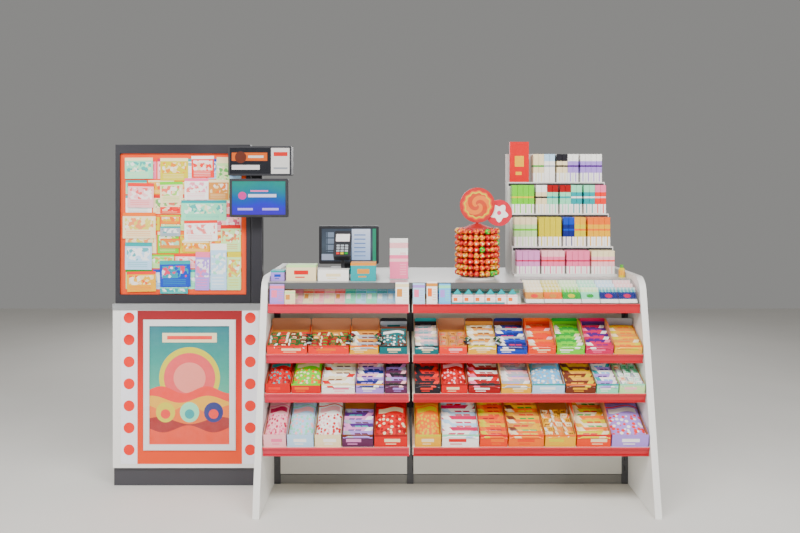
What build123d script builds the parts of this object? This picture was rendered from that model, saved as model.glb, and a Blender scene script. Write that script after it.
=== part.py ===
from build123d import *
import os
from math import atan2, cos, degrees, pi, radians, sin, tan

# Kiosk sales counter: two bays of sloping sweet shelves between end panels, a worktop with a low
# display case under its front edge, a lower wing with a poster front, and what stands on top.
# Millimetres, +Z up, customers stand on the -Y side, the origin is on the floor at the centre.

# Plan of the counter
left_bay = 625.0
right_bay = 1000.0
end_panel = 28.0
wing_width = 700.0
overall_depth = 826.0
gondola_depth = 376.0

# Heights above the floor
panel_top = 967.0
worktop_top = 945.0
worktop_thick = 25.0
wing_height = 832.0
board_top = 1556.0

# End panels
front_lean = 12.5
panel_corner = 75.0

# Slotted uprights and the sheet-steel panels between them
upright_width = 30.0
upright_depth = 60.0
upright_wall = 2.0
slot_pitch = 50.0
slot_base = 21.0
slot_height = 30.0
slot_width = 3.2
slot_offset = 10.0
sheet_panel = 18.0
base_rail_height = 40.0
base_rail_recess = 4.0
panel_clear = 5.0

# Shelves: trays of folded sheet on brackets
shelf_tilt = 14.5
shelf_sheet = 2.0
lip_height = 34.0
flange_height = 22.0
shelf_setback = 7.0
shelf_to_split = 6.0
shelf_to_panel = 2.0
shelf_back_gap = 1.0
above_slot = 28.0
slots_to_bottom = 6
slots_to_middle = 4
slots_to_upper = 3
slots_to_deck = 3

# Shelf brackets
bracket_sheet = 2.4
bracket_rear = 46.0
bracket_nose = 18.0
bracket_front_gap = 12.0
hook_reach = 5.0
hook_clear = 2.0

# Price rails
rail_height = 39.0
rail_depth = 7.0
rail_wall = 1.6
rail_lip = 4.5
rail_to_split = 9.0
rail_to_panel = 3.0

# Cuts run this far past a face, and welded pieces reach this far into each other
overrun = 1.0

# Display case under the worktop's front edge
worktop_inset = 2.0
edge_profile = 3.0
glass_thick = 4.0
glass_setback = 8.0
glass_gap = 3.0
ticket_depth = 62.0
ticket_height = 64.0
ticket_top = 12.0
ticket_setback = 10.0
ticket_margin = 8.0
card_case_width = 505.0
card_case_depth = 130.0
card_case_front = 62.0
card_case_back = 100.0
card_case_wall = 4.0
card_case_clear = 2.0
card_rows = 3
card_columns = 6
card_row_pitch = 27.0
card_row_rise = 14.0
card_lean = 35.0
card_tall = 76.0
card_sheet = 3.0
card_side_gap = 3.0
card_clear = 1.0

# Sweet cartons: widths across one bay, scaled to fill it
carton_gap = 4.0
carton_wall = 2.0
carton_front_gap = 6.0
fill_below_rim = 7.0
carton_widths = {
    "upper_left": [160, 162, 114, 110],
    "upper_right": [104, 122, 125, 130, 122, 122, 122, 122],
    "middle_left": [104, 123, 139, 117, 94],
    "middle_right": [109, 112, 136, 128, 139, 128, 93, 109],
    "bottom_left": [94, 110, 110, 129, 137],
    "bottom_right": [111, 157, 118, 151, 131, 145, 157],
}
upper_carton_depth = 160.0
upper_carton_header = 96.0
upper_carton_lip = 40.0
middle_carton_depth = 200.0
middle_carton_header = 102.0
middle_carton_lip = 44.0
bottom_carton_depth = 235.0
bottom_carton_header = 146.0
bottom_carton_lip = 58.0
shoulder_share = 0.45

# Clerk's side of the counter
board_sheet = 18.0
rear_toe = 80.0
rear_toe_recess = 55.0
rear_shelf_level = 480.0
rear_shelf_recess = 35.0
rear_gap = 2.0

# Wing beside the sweet shelves
wing_setback = 343.0
wing_toe = 85.0
wing_toe_recess = 15.0
wing_top_thick = 25.0
wing_shelf_level = 430.0
wing_edge_height = 28.0
wing_edge_depth = 5.0
strip_width = 75.0
strip_thick = 2.0
field_width = 476.0
field_to_edge = 4.0
field_to_toe = 19.0
poster_width = 420.0
poster_height = 594.0
poster_rise = 11.0
poster_border = 28.0
poster_frame_thick = 8.0
poster_sheet_thick = 2.0

# Notice board on the wing
board_margin = 8.0
board_frame_depth = 30.0
board_bar = 40.0
board_side = 20.0
board_thick = 12.0
board_setback = 10.0
board_border = 24.0
card_thick = 2.0
card_gap = 6.0
board_card_rows = [86, 60, 78, 66, 92, 58, 84]
board_card_columns = [108, 74, 92, 120]

# Post with the screen and the sign box
post_width = 50.0
post_depth = 40.0
post_corner = 4.0
post_gap = 3.0
sign_width = 284.0
sign_height = 132.0
sign_depth = 60.0
sign_to_board_top = 10.0
sign_corner = 5.0
screen_width = 261.0
screen_height = 172.0
screen_thick = 26.0
screen_corner = 6.0
screen_to_sign = 14.0
screen_reach = 57.0
screen_offset = 25.0
hinge_behind = 22.0
pin_radius = 4.0
pin_clear = 0.05
knuckle_radius = 10.0
knuckle_width = 28.0
arm_width = 18.0
ear_sheet = 5.0
ear_gap = 1.0
ear_plate = 4.0
ear_plate_height = 60.0

# Turning lollipop stand
tower_from_split = 307.5
tower_setback = 164.5
tower_base_radius = 82.0
tower_base_height = 10.0
spindle_radius = 9.0
spindle_clear = 0.06
spindle_height = 130.0
drum_gap = 5.0
drum_core = 66.0
drum_rim = 78.0
drum_tiers = 8
drum_sides = 22
tier_pitch = 27.0
drum_cap = 20.0
sign_stem_radius = 7.0
sign_stem_length = 60.0
sign_disc_radius = 80.0
sign_disc_thick = 8.0
sign_disc_lift = 4.0
second_disc_radius = 60.0
second_disc_shift = 100.0
second_disc_drop = 36.0

# Stepped rack for slim boxes
rack_width = 482.0
rack_from_right = 31.0
rack_setback = 224.5
rack_tiers = 4
rack_step = 75.0
rack_rise = 154.0
rack_first_rise = 122.0
rack_sheet = 3.0
rack_first = 6.0
rack_lip = 6.0
rack_groups = 4
rack_box_gap = 9.0
rack_box_depth = 60.0
rack_box_clear = 1.0
rack_group_gap = 9.0
banner_width = 94.0
banner_height = 206.0
banner_thick = 24.0

# Till, card terminal and small things on the worktop
till_from_left = 324.0
till_from_back = 141.0
till_width = 296.0
till_height = 188.0
till_thick = 22.0
till_corner = 6.0
till_base_width = 190.0
till_base_depth = 150.0
till_base_height = 14.0
till_base_corner = 12.0
till_lift = 36.0
till_neck = 30.0
terminal_from_left = 302.0
terminal_from_back = 273.0
terminal_width = 84.0
terminal_length = 150.0
terminal_thick = 34.0
terminal_corner = 10.0
terminal_tilt = 50.0
terminal_pole = 9.0
terminal_foot = 45.0
terminal_foot_height = 6.0
terminal_height = 118.0
leaflet_from_split = 52.0
leaflet_setback = 109.5
leaflet_width = 92.0
leaflet_height = 200.0
leaflet_foot = 70.0
leaflet_lean = 30.0
leaflet_sheet = 3.0
box_row_setback = 83.5
box_row_depth = 70.0
box_row_start = 4.0
box_row_widths = [60.0, 132.0, 136.0, 112.0]
box_row_heights = [46.0, 72.0, 50.0, 82.0]
box_row_gap = 9.0
bottle_from_right = 20.0
bottle_to_rack = 15.0
bottle_radius = 14.0
bottle_height = 44.0
bottle_neck = 8.0
bottle_cap = 14.0

# Places worked out from the sizes above
total_width = wing_width + left_bay + right_bay + 2 * end_panel
x_wing = -total_width / 2
x_counter = x_wing + wing_width
x_bays = x_counter + end_panel
x_split = x_bays + left_bay
x_bays_end = x_split + right_bay
x_end = x_bays_end + end_panel
y_front = -overall_depth / 2
y_back = overall_depth / 2
y_upright = y_front + gondola_depth
lean = tan(radians(front_lean))
worktop_under = worktop_top - worktop_thick
y_worktop = y_front + lean * worktop_top + worktop_inset
y_wing = y_front + wing_setback
x_case = x_bays_end - card_case_width
x_rack_end = x_bays_end - rack_from_right
y_rack = y_worktop + rack_setback
tower_x = x_split + tower_from_split
tower_y = y_worktop + tower_setback
till_x = x_bays + till_from_left
till_y = y_back - till_from_back
terminal_x = x_bays + terminal_from_left
terminal_y = y_back - terminal_from_back
leaflet_x = x_split - leaflet_from_split
leaflet_y = y_worktop + leaflet_setback
box_row_y = y_worktop + box_row_setback
bottle_x = x_bays_end - bottle_from_right
bottle_y = y_rack - bottle_to_rack - bottle_radius
y_board = y_wing + board_setback
sign_base = board_top - sign_to_board_top - sign_height
screen_centre = sign_base - screen_to_sign - screen_height / 2
x_post = x_counter - post_gap - post_width / 2 - board_side


def block(x0, x1, y0, y1, z0, z1):
    """A block between two opposite corners."""
    middle = Pos((x0 + x1) / 2, (y0 + y1) / 2, (z0 + z1) / 2)
    return middle * Box(x1 - x0, y1 - y0, z1 - z0)


def across(points, x0, x1):
    """A bar along X from x0 to x1 whose end shows the (y, z) points."""
    outline = make_face(Polyline(*points, close=True))
    return extrude(Plane.YZ.offset(x0) * outline, amount=x1 - x0)


def upright_disc(x, y, z, radius, height):
    """A round disc or post standing at (x, y) with its base at z."""
    return Pos(x, y, z + height / 2) * Cylinder(radius, height)


def edge_at(height):
    """Y of the end panels' leaning front edge at a height."""
    return y_front + lean * height


# End panels

def end_panel_at(x0):
    """Side of the counter: leaning front edge, rounded top corner, square back."""
    outline = make_face(Polyline(
        (y_front, 0), (edge_at(panel_top), panel_top), (y_back, panel_top), (y_back, 0), close=True))
    corner = outline.vertices().sort_by(Axis.Y)[:3].sort_by(Axis.X)[1]
    outline = fillet(corner, panel_corner)
    return extrude(Plane.YZ.offset(x0) * outline, amount=end_panel)


# Uprights and panels between the bays

def slot_height_at(index):
    """Height of the middle of one slot."""
    return slot_base + slot_pitch * index


def upright(x, columns):
    """Rectangular steel tube with columns of slots in its front wall."""
    tube = block(x - upright_width / 2, x + upright_width / 2,
                 y_upright, y_upright + upright_depth, 0, worktop_under)
    hollow = block(x - upright_width / 2 + upright_wall, x + upright_width / 2 - upright_wall,
                   y_upright + upright_wall, y_upright + upright_depth - upright_wall, 0, worktop_under)
    last_slot = int((worktop_under - slot_base - slot_height) / slot_pitch)
    slots = [
        block(x + column - slot_width / 2, x + column + slot_width / 2,
              y_upright - overrun, y_upright + upright_wall + overrun,
              slot_height_at(k) - slot_height / 2, slot_height_at(k) + slot_height / 2)
        for column in columns for k in range(1, last_slot + 1)]
    return tube - hollow - slots


upright_places = [x_bays + upright_width / 2, x_split, x_bays_end - upright_width / 2]


def uprights():
    left, middle, right = upright_places
    return [upright(left, [0]), upright(middle, [-slot_offset, slot_offset]), upright(right, [0])]


def between_uprights(y0, thick, z0, z1):
    """One sheet in each bay, standing between its two uprights."""
    half = upright_width / 2
    spans = zip(upright_places[:-1], upright_places[1:])
    return [block(a + half, b - half, y0, y0 + thick, z0, z1) for a, b in spans]


def back_panels():
    """The panels end at the display deck, so the case above it is filled from the clerk's side."""
    return between_uprights(y_upright, sheet_panel, base_rail_height + panel_clear, deck_top())


def base_rails():
    return between_uprights(y_upright + base_rail_recess, sheet_panel - base_rail_recess, 0, base_rail_height)


# Shelves

level_slots = {
    "bottom": slots_to_bottom,
    "middle": slots_to_bottom + slots_to_middle,
    "upper": slots_to_bottom + slots_to_middle + slots_to_upper,
    "deck": slots_to_bottom + slots_to_middle + slots_to_upper + slots_to_deck,
}
bays = {
    "left": (x_bays + shelf_to_panel, x_split - shelf_to_split),
    "right": (x_split + shelf_to_split, x_bays_end - shelf_to_panel),
}


def tilt_of(level):
    return 0.0 if level == "deck" else shelf_tilt


def shelf_front(level):
    """Y and Z of the top front edge of the tray at one level."""
    fall = tan(radians(tilt_of(level)))
    back = slot_height_at(level_slots[level]) + above_slot + shelf_sheet
    reach = y_upright - y_front - shelf_setback
    z = (back - fall * reach) / (1 - fall * lean)
    return edge_at(z) + shelf_setback, z


def on_shelf(level):
    """Frame of a tray: Y runs up its slope from the front edge, Z stands off its surface."""
    y, z = shelf_front(level)
    return Pos(0, y, z) * Rot(X=tilt_of(level))


def shelf_depth(level):
    """Length of the tray measured along its slope."""
    y, _ = shelf_front(level)
    return (y_upright - shelf_back_gap - y) / cos(radians(tilt_of(level)))


def tray(level, side):
    """Tray folded from sheet: a deck, a deep front lip and a flange down each end."""
    x0, x1 = bays[side]
    depth = shelf_depth(level)
    # the fold at the back clears the upright although the tray leans
    back = depth - lip_height * sin(radians(tilt_of(level)))
    plate = block(x0, x1, 0, depth, -shelf_sheet, 0)
    lip = block(x0, x1, 0, shelf_sheet, -lip_height, 0)
    ends = [block(x, x + shelf_sheet, 0, back, -flange_height, 0) for x in (x0, x1 - shelf_sheet)]
    return on_shelf(level) * (plate + lip + ends)


def trays(level):
    return [tray(level, side) for side in bays]


def bracket(level, x):
    """Cantilever plate under a tray, with a hook that enters a slot of the upright."""
    y, z = shelf_front(level)
    fall = tan(radians(tilt_of(level)))
    under = shelf_sheet / cos(radians(tilt_of(level)))

    def underside(at):
        return z + fall * (at - y) - under

    nose = y + bracket_front_gap
    heel = underside(y_upright)
    plate = across([(nose, underside(nose)), (y_upright, heel), (y_upright, heel - bracket_rear),
                    (nose, underside(nose) - bracket_nose)],
                   x - bracket_sheet / 2, x + bracket_sheet / 2)
    middle = slot_height_at(level_slots[level])
    half = slot_height / 2 - hook_clear
    hook = block(x - bracket_sheet / 2, x + bracket_sheet / 2,
                 y_upright - overrun, y_upright + hook_reach, middle - half, middle + half)
    return plate + hook


def shelf_brackets():
    left, middle, right = upright_places
    places = [left, middle - slot_offset, middle + slot_offset, right]
    return [bracket(level, x) for level in level_slots for x in places]


def price_rail(level, side):
    """Channel for price labels: a web on the tray's lip and two curled edges."""
    x0, x1 = bays[side]
    to_panel = rail_to_panel - shelf_to_panel
    to_split = rail_to_split - shelf_to_split
    x0 += to_panel if side == "left" else to_split
    x1 -= to_split if side == "left" else to_panel
    low = -(lip_height + rail_height) / 2
    high = low + rail_height
    front = -rail_depth
    outline = make_face(Polyline(
        (0, low), (0, high), (front, high), (front, high - rail_lip), (front + rail_wall, high - rail_lip),
        (front + rail_wall, high - rail_wall), (-rail_wall, high - rail_wall), (-rail_wall, low + rail_wall),
        (front + rail_wall, low + rail_wall), (front + rail_wall, low + rail_lip), (front, low + rail_lip),
        (front, low), close=True))
    curled = outline.vertices().filter_by(lambda v: abs(v.X - front) < 0.01 and min(
        abs(v.Y - low), abs(v.Y - high)) < 0.01)
    outline = fillet(curled, rail_wall)
    return on_shelf(level) * extrude(Plane.YZ.offset(x0) * outline, amount=x1 - x0)


def price_rails(side):
    return [price_rail(level, side) for level in level_slots]


# Sweet cartons

carton_sizes = {
    "upper": (upper_carton_depth, upper_carton_header, upper_carton_lip),
    "middle": (middle_carton_depth, middle_carton_header, middle_carton_lip),
    "bottom": (bottom_carton_depth, bottom_carton_header, bottom_carton_lip),
}


def carton_spans(level, side):
    """X ranges of the cartons that share one tray."""
    x0, x1 = bays[side]
    if side == "left":
        x1 -= shelf_to_split
    else:
        x0 += shelf_to_split
    widths = carton_widths[f"{level}_{side}"]
    share = (x1 - x0 - carton_gap * (len(widths) + 1)) / sum(widths)
    spans = []
    x = x0 + carton_gap
    for width in widths:
        spans.append((x, x + width * share))
        x += width * share + carton_gap
    return spans


def carton(level, x0, x1):
    """Open display carton: low front lip, sloping sides, high back, filled to just under the rim."""
    depth, header, lip = carton_sizes[level]
    shoulder = shoulder_share * (header - lip) + lip
    y0 = carton_front_gap
    y1 = y0 + depth
    body = across([(y0, 0), (y1, 0), (y1, header), (y1 - carton_wall, header), (y1 - carton_wall, shoulder),
                   (y0 + carton_wall, lip), (y0, lip)], x0, x1)
    rise = (shoulder - lip) / (depth - 2 * carton_wall)
    pocket = across([(y0 + carton_wall, lip - fill_below_rim), (y1 - carton_wall, shoulder - fill_below_rim),
                     (y1 - carton_wall, shoulder + rise + overrun), (y0 + carton_wall, lip + overrun)],
                    x0 + carton_wall, x1 - carton_wall)
    return on_shelf(level) * (body - pocket)


def cartons(level, side):
    return [carton(level, x0, x1) for x0, x1 in carton_spans(level, side)]


# Worktop and the display case below its front edge

def worktop():
    """Board between the end panels, cut back at the right front for the card case."""
    notch_y = case_front() + card_case_depth + card_case_clear
    outline = Polyline(
        (x_bays, y_worktop), (x_case - card_case_clear, y_worktop), (x_case - card_case_clear, notch_y),
        (x_bays_end, notch_y), (x_bays_end, y_back), (x_bays, y_back), close=True)
    return extrude(Plane.XY.offset(worktop_under) * make_face(outline), amount=worktop_thick)


def worktop_edge():
    """Aluminium profile along the worktop's front edge."""
    return block(x_bays, x_case - card_case_clear, y_worktop - edge_profile, y_worktop,
                 worktop_under - edge_profile, worktop_top)


def deck_top():
    return shelf_front("deck")[1]


def case_front():
    return shelf_front("deck")[0] + carton_front_gap


def display_glass():
    """Front panes of the display case and the pane that divides it."""
    y0 = y_worktop + glass_setback
    half = glass_thick / 2
    spans = [(x_bays + glass_gap, x_split - glass_gap - half),
             (x_split + glass_gap + half, x_case - glass_gap)]
    panes = [block(a, b, y0, y0 + glass_thick, deck_top(), worktop_under) for a, b in spans]
    divider = block(x_split - half, x_split + half, y_worktop + edge_profile, y_upright - glass_gap,
                    deck_top() + glass_gap, worktop_under)
    return panes + [divider]


def ticket_stand(x0, x1):
    """Wedge that holds a row of tickets leaning back behind the glass."""
    y0 = y_worktop + glass_setback + glass_thick + ticket_setback
    z0 = deck_top()
    return across([(y0, z0), (y0 + ticket_depth, z0), (y0 + ticket_depth, z0 + ticket_height),
                   (y0 + ticket_depth - ticket_top, z0 + ticket_height)], x0, x1)


def ticket_stands():
    return [ticket_stand(x_bays + ticket_margin, x_split - ticket_margin),
            ticket_stand(x_split + ticket_margin, x_case - ticket_margin)]


def card_case():
    """Low case with a sloping top, open above, for rows of cards."""
    y0 = case_front()
    y1 = y0 + card_case_depth
    z0 = deck_top()
    x0 = x_case + card_case_clear
    x1 = x_bays_end - card_case_clear
    body = across([(y0, z0), (y1, z0), (y1, z0 + card_case_back), (y0, z0 + card_case_front)], x0, x1)
    well = block(x0 + card_case_wall, x1 - card_case_wall, y0 + card_case_wall, y1 - card_case_wall,
                 z0 + card_case_wall, z0 + card_case_back + overrun)
    return body - well


def case_cards():
    """Cards standing in rows in the case, leaning back, each row taller than the one in front."""
    x0 = x_case + card_case_clear + card_case_wall + card_side_gap
    x1 = x_bays_end - card_case_clear - card_case_wall - card_side_gap
    run = (x1 - x0 - card_side_gap * (card_columns - 1)) / card_columns
    y0 = case_front() + card_case_wall + card_clear + card_sheet * sin(radians(card_lean))
    z0 = deck_top() + card_case_wall
    cards = []
    for row in range(card_rows):
        for column in range(card_columns):
            x = x0 + column * (run + card_side_gap)
            place = Pos(0, y0 + row * card_row_pitch, z0) * Rot(X=-card_lean)
            cards.append(place * block(x, x + run, -card_sheet, 0, 0, card_tall + row * card_row_rise))
    return cards


# Clerk's side

def rear_divider():
    y0 = y_upright + upright_depth + rear_gap
    return block(x_split - board_sheet / 2, x_split + board_sheet / 2, y0, y_back - rear_gap,
                 rear_toe + board_sheet, worktop_under)


def rear_bottom():
    y0 = y_upright + upright_depth + rear_gap
    return block(x_bays, x_bays_end, y0, y_back - rear_gap, rear_toe, rear_toe + board_sheet)


def rear_shelves():
    y0 = y_upright + upright_depth + rear_gap
    spans = [(x_bays, x_split - board_sheet / 2), (x_split + board_sheet / 2, x_bays_end)]
    return [block(a, b, y0, y_back - rear_shelf_recess, rear_shelf_level, rear_shelf_level + board_sheet)
            for a, b in spans]


def rear_plinth():
    y1 = y_back - rear_toe_recess
    return block(x_bays, x_bays_end, y1 - board_sheet, y1, 0, rear_toe)


# Wing

def wing_front():
    return block(x_wing, x_counter, y_wing, y_wing + board_sheet, wing_toe, wing_height - wing_top_thick)


def wing_side():
    """Outer side of the wing with a toe notch at the front."""
    y0 = y_wing + board_sheet
    y_toe = y_wing + wing_toe_recess + board_sheet
    return across([(y0, wing_toe), (y0, wing_height - wing_top_thick), (y_back, wing_height - wing_top_thick),
                   (y_back, 0), (y_toe, 0), (y_toe, wing_toe)], x_wing, x_wing + board_sheet)


def wing_top():
    return block(x_wing, x_counter, y_wing, y_back, wing_height - wing_top_thick, wing_height)


def wing_edge():
    """Bright profile along the front of the wing's top."""
    return block(x_wing, x_counter, y_wing - wing_edge_depth, y_wing,
                 wing_height - wing_edge_height, wing_height)


def wing_plinth():
    y0 = y_wing + wing_toe_recess
    return block(x_wing, x_counter, y0, y0 + board_sheet, 0, wing_toe)


def wing_shelves():
    x0 = x_wing + board_sheet
    y0 = y_wing + board_sheet
    y1 = y_back - rear_shelf_recess
    levels = (wing_toe, wing_shelf_level)
    return [block(x0, x_counter, y0, y1, z, z + board_sheet) for z in levels]


x_poster = (x_wing + x_counter) / 2
field_base = wing_toe + field_to_toe
field_top = wing_height - wing_edge_height - field_to_edge
poster_base = (field_base + field_top - poster_height) / 2 + poster_rise


def dot_strips():
    """White strips down each side of the poster field."""
    inner = field_width / 2
    return [block(x0, x0 + strip_width, y_wing - strip_thick, y_wing, field_base, field_top)
            for x0 in (x_poster - inner - strip_width, x_poster + inner)]


def poster_field():
    half = field_width / 2
    return block(x_poster - half, x_poster + half, y_wing - strip_thick, y_wing, field_base, field_top)


def poster_frame():
    """Snap frame round the poster."""
    y1 = y_wing - strip_thick
    y0 = y1 - poster_frame_thick
    half = poster_width / 2
    outer = block(x_poster - half, x_poster + half, y0, y1, poster_base, poster_base + poster_height)
    opening = block(x_poster - half + poster_border, x_poster + half - poster_border,
                    y0 - overrun, y1 + overrun,
                    poster_base + poster_border, poster_base + poster_height - poster_border)
    frame = outer - opening
    rim = frame.faces().sort_by(Axis.Y)[0].outer_wire().edges()
    return chamfer(rim, poster_frame_thick / 2)


def poster_sheet():
    y1 = y_wing - strip_thick
    half = poster_width / 2 - poster_border
    return block(x_poster - half, x_poster + half, y1 - poster_sheet_thick, y1,
                 poster_base + poster_border, poster_base + poster_height - poster_border)


# Notice board

x_board = x_wing + board_margin
x_board_end = x_post - post_width / 2 - post_gap


def board_frame():
    y1 = y_board + board_frame_depth
    outer = block(x_board, x_board_end, y_board, y1, wing_height, board_top)
    opening = block(x_board + board_side, x_board_end - board_side, y_board - overrun, y1 + overrun,
                    wing_height + board_bar, board_top - board_bar)
    return outer - opening


def board_panel():
    y0 = y_board + board_setback
    return block(x_board + board_side, x_board_end - board_side, y0, y0 + board_thick,
                 wing_height + board_bar, board_top - board_bar)


def board_cards():
    """Cards in rows on the board, each as wide as its share of the row."""
    x0 = x_board + board_side + board_border
    x1 = x_board_end - board_side - board_border
    z1 = board_top - board_bar - board_border
    z0 = wing_height + board_bar + board_border
    y1 = y_board + board_setback
    rise = (z1 - z0 - card_gap * (len(board_card_rows) - 1)) / sum(board_card_rows)
    cards = []
    z = z1
    for row, height in enumerate(board_card_rows):
        turn = row % len(board_card_columns)
        widths = board_card_columns[turn:] + board_card_columns[:turn]
        run = (x1 - x0 - card_gap * (len(widths) - 1)) / sum(widths)
        x = x0
        for width in widths:
            cards.append(block(x, x + width * run, y1 - card_thick, y1, z - height * rise, z))
            x += width * run + card_gap
        z -= height * rise + card_gap
    return cards


# Post, screen and sign box

y_post = y_board
y_hinge = y_post - screen_reach + hinge_behind
x_screen = x_post + screen_offset


def screen_post():
    """Post on the wing with the arm that carries the screen's hinge; the sign is fixed to its top."""
    half = post_width / 2
    post = block(x_post - half, x_post + half, y_post, y_post + post_depth,
                 wing_height, sign_base + sign_height / 2)
    post = fillet(post.edges().filter_by(Axis.Z), post_corner)
    reach = block(x_post - arm_width / 2, x_post + arm_width / 2, y_hinge, y_post,
                  screen_centre - knuckle_radius, screen_centre + knuckle_radius)
    knuckle = Pos(x_post, y_hinge, screen_centre) * Rot(Y=90) * Cylinder(knuckle_radius, knuckle_width)
    bore = Pos(x_post, y_hinge, screen_centre) * Rot(Y=90) * Cylinder(
        pin_radius + pin_clear, knuckle_width + 2 * overrun)
    return post + reach + knuckle - bore


def screen_bracket():
    """Back plate with two ears and the pin through the arm's knuckle."""
    y_back_face = y_post - screen_reach
    inner = knuckle_width / 2 + ear_gap
    outer = inner + ear_sheet
    plate = block(x_post - outer, x_post + outer, y_back_face, y_back_face + ear_plate,
                  screen_centre - ear_plate_height / 2, screen_centre + ear_plate_height / 2)
    ears = []
    for x0 in (x_post - outer, x_post + inner):
        ears.append(block(x0, x0 + ear_sheet, y_back_face, y_hinge,
                          screen_centre - knuckle_radius, screen_centre + knuckle_radius))
        ears.append(Pos(x0 + ear_sheet / 2, y_hinge, screen_centre) * Rot(Y=90)
                    * Cylinder(knuckle_radius, ear_sheet))
    pin = Pos(x_post, y_hinge, screen_centre) * Rot(Y=90) * Cylinder(pin_radius, 2 * outer)
    return plate + ears + pin


def screen():
    """Flat screen with a soft rim."""
    y1 = y_post - screen_reach
    body = block(x_screen - screen_width / 2, x_screen + screen_width / 2, y1 - screen_thick, y1,
                 screen_centre - screen_height / 2, screen_centre + screen_height / 2)
    return fillet(body.edges().filter_by(Axis.Y), screen_corner)


def sign_box():
    body = block(x_screen - sign_width / 2, x_screen + sign_width / 2, y_post - sign_depth, y_post,
                 sign_base, sign_base + sign_height)
    return fillet(body.edges().filter_by(Axis.Y), sign_corner)


# Turning lollipop stand

def tower_base():
    disc = upright_disc(tower_x, tower_y, worktop_top, tower_base_radius, tower_base_height)
    disc = chamfer(disc.edges().filter_by(GeomType.CIRCLE).sort_by(Axis.Z)[-1], tower_base_height / 3)
    return disc + upright_disc(tower_x, tower_y, worktop_top, spindle_radius, spindle_height)


z_drum = worktop_top + tower_base_height + drum_gap
drum_height = drum_tiers * tier_pitch


def tapered(low_radius, high_radius, z, height):
    """Many-sided block that narrows upwards."""
    base = Plane.XY.offset(z) * RegularPolygon(low_radius, drum_sides)
    flat_inset = (low_radius - high_radius) * cos(pi / drum_sides)
    return extrude(base, amount=height, taper=degrees(atan2(flat_inset, height)))


def tower_drum():
    """Stack of tapered rings, one for each row of lollipops, closed by a shallow cap."""
    drum = tapered(drum_core, 2 * sign_stem_radius, drum_height, drum_cap)
    for tier in range(drum_tiers):
        drum += tapered(drum_rim, drum_core, tier * tier_pitch, tier_pitch)
    socket_depth = worktop_top + spindle_height + spindle_clear - z_drum
    socket = upright_disc(0, 0, -overrun, spindle_radius + spindle_clear, socket_depth + overrun)
    return Pos(tower_x, tower_y, z_drum) * (drum - socket)


def tower_sign():
    """Round sign on a stem, one disc behind the other."""
    z0 = z_drum + drum_height + drum_cap
    stem = upright_disc(tower_x, tower_y, z0, sign_stem_radius, sign_stem_length)
    z_disc = z0 + sign_disc_radius + sign_disc_lift
    disc = Rot(X=90) * Cylinder(sign_disc_radius, sign_disc_thick)
    disc = Pos(tower_x, tower_y - sign_disc_thick, z_disc) * disc
    second = Rot(X=90) * Cylinder(second_disc_radius, sign_disc_thick)
    second = Pos(tower_x + second_disc_shift, tower_y, z_disc - second_disc_drop) * second
    return stem + disc + second


# Stepped rack

def rack_profile(grow):
    """Stepped outline of the rack seen from its end, with a lip at the front of each tread."""
    points = [(y_rack, worktop_top)]
    for y, floor in rack_treads():
        points += [(y, floor + grow), (y + rack_step, floor + grow)]
    y_rear = y_rack + rack_tiers * rack_step
    top = rack_treads()[-1][1] + rack_rise - rack_lip
    points += [(y_rear, top), (y_rear + rack_sheet, top), (y_rear + rack_sheet, worktop_top)]
    return points


x_rack = x_rack_end - rack_width


def rack_frame():
    """Steps of sheet with a small lip on each tread, between two side plates."""
    steps = across(rack_profile(0), x_rack + rack_sheet, x_rack_end - rack_sheet)
    cut_back = [(y + rack_sheet, z - rack_sheet) for y, z in rack_profile(0)[:-2]]
    cut_back[0] = (cut_back[0][0], worktop_top - overrun)
    last_y = y_rack + rack_tiers * rack_step
    cut_back = cut_back[:-1] + [(last_y, cut_back[-2][1]), (last_y, worktop_top - overrun)]
    steps -= across(cut_back, x_rack, x_rack_end)
    lips = [block(x_rack + rack_sheet, x_rack_end - rack_sheet, y, y + rack_sheet, floor, floor + rack_lip)
            for y, floor in rack_treads()]
    sides = [across(rack_profile(rack_lip), x, x + rack_sheet) for x in (x_rack, x_rack_end - rack_sheet)]
    return steps + lips + sides


def rack_treads():
    """Front Y and floor Z of each tread. The lowest step is not as high as the others."""
    second = worktop_top + rack_first + rack_first_rise
    floors = [worktop_top + rack_first] + [second + step * rack_rise for step in range(rack_tiers - 1)]
    return [(y_rack + tier * rack_step, floor) for tier, floor in enumerate(floors)]


def rack_boxes():
    """Groups of slim boxes standing on the treads."""
    x0 = x_rack + rack_sheet + rack_group_gap
    run = (rack_width - 2 * rack_sheet - rack_group_gap * (rack_groups + 1)) / rack_groups
    solids = []
    for tier, (y, floor) in enumerate(rack_treads()):
        y0 = y + rack_sheet + rack_box_clear
        top = floor + (rack_rise if tier else rack_first_rise) - rack_box_gap
        # the banner takes the first group's place on the top tread
        for group in range(1 if tier == rack_tiers - 1 else 0, rack_groups):
            x = x0 + group * (run + rack_group_gap)
            solids.append(block(x, x + run, y0, y0 + rack_box_depth, floor, top))
    return solids


def rack_banner():
    """Tall advertising card box at the left of the top tread."""
    y, floor = rack_treads()[-1]
    x0 = x_rack + rack_sheet + rack_group_gap
    y0 = y + rack_sheet
    return block(x0, x0 + banner_width, y0, y0 + banner_thick, floor, floor + banner_height)


# Till and small things

def till_stand():
    base = block(till_x - till_base_width / 2, till_x + till_base_width / 2, till_y - till_base_depth / 2,
                 till_y + till_base_depth / 2, worktop_top, worktop_top + till_base_height)
    base = fillet(base.edges().filter_by(Axis.Z), till_base_corner)
    neck = block(till_x - till_neck, till_x + till_neck, till_y, till_y + till_neck / 2,
                 worktop_top + till_base_height, worktop_top + till_lift + till_height / 2)
    return base + neck


def till_screen():
    body = block(till_x - till_width / 2, till_x + till_width / 2, till_y - till_thick, till_y,
                 worktop_top + till_lift, worktop_top + till_lift + till_height)
    return fillet(body.edges().filter_by(Axis.Y), till_corner)


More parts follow.
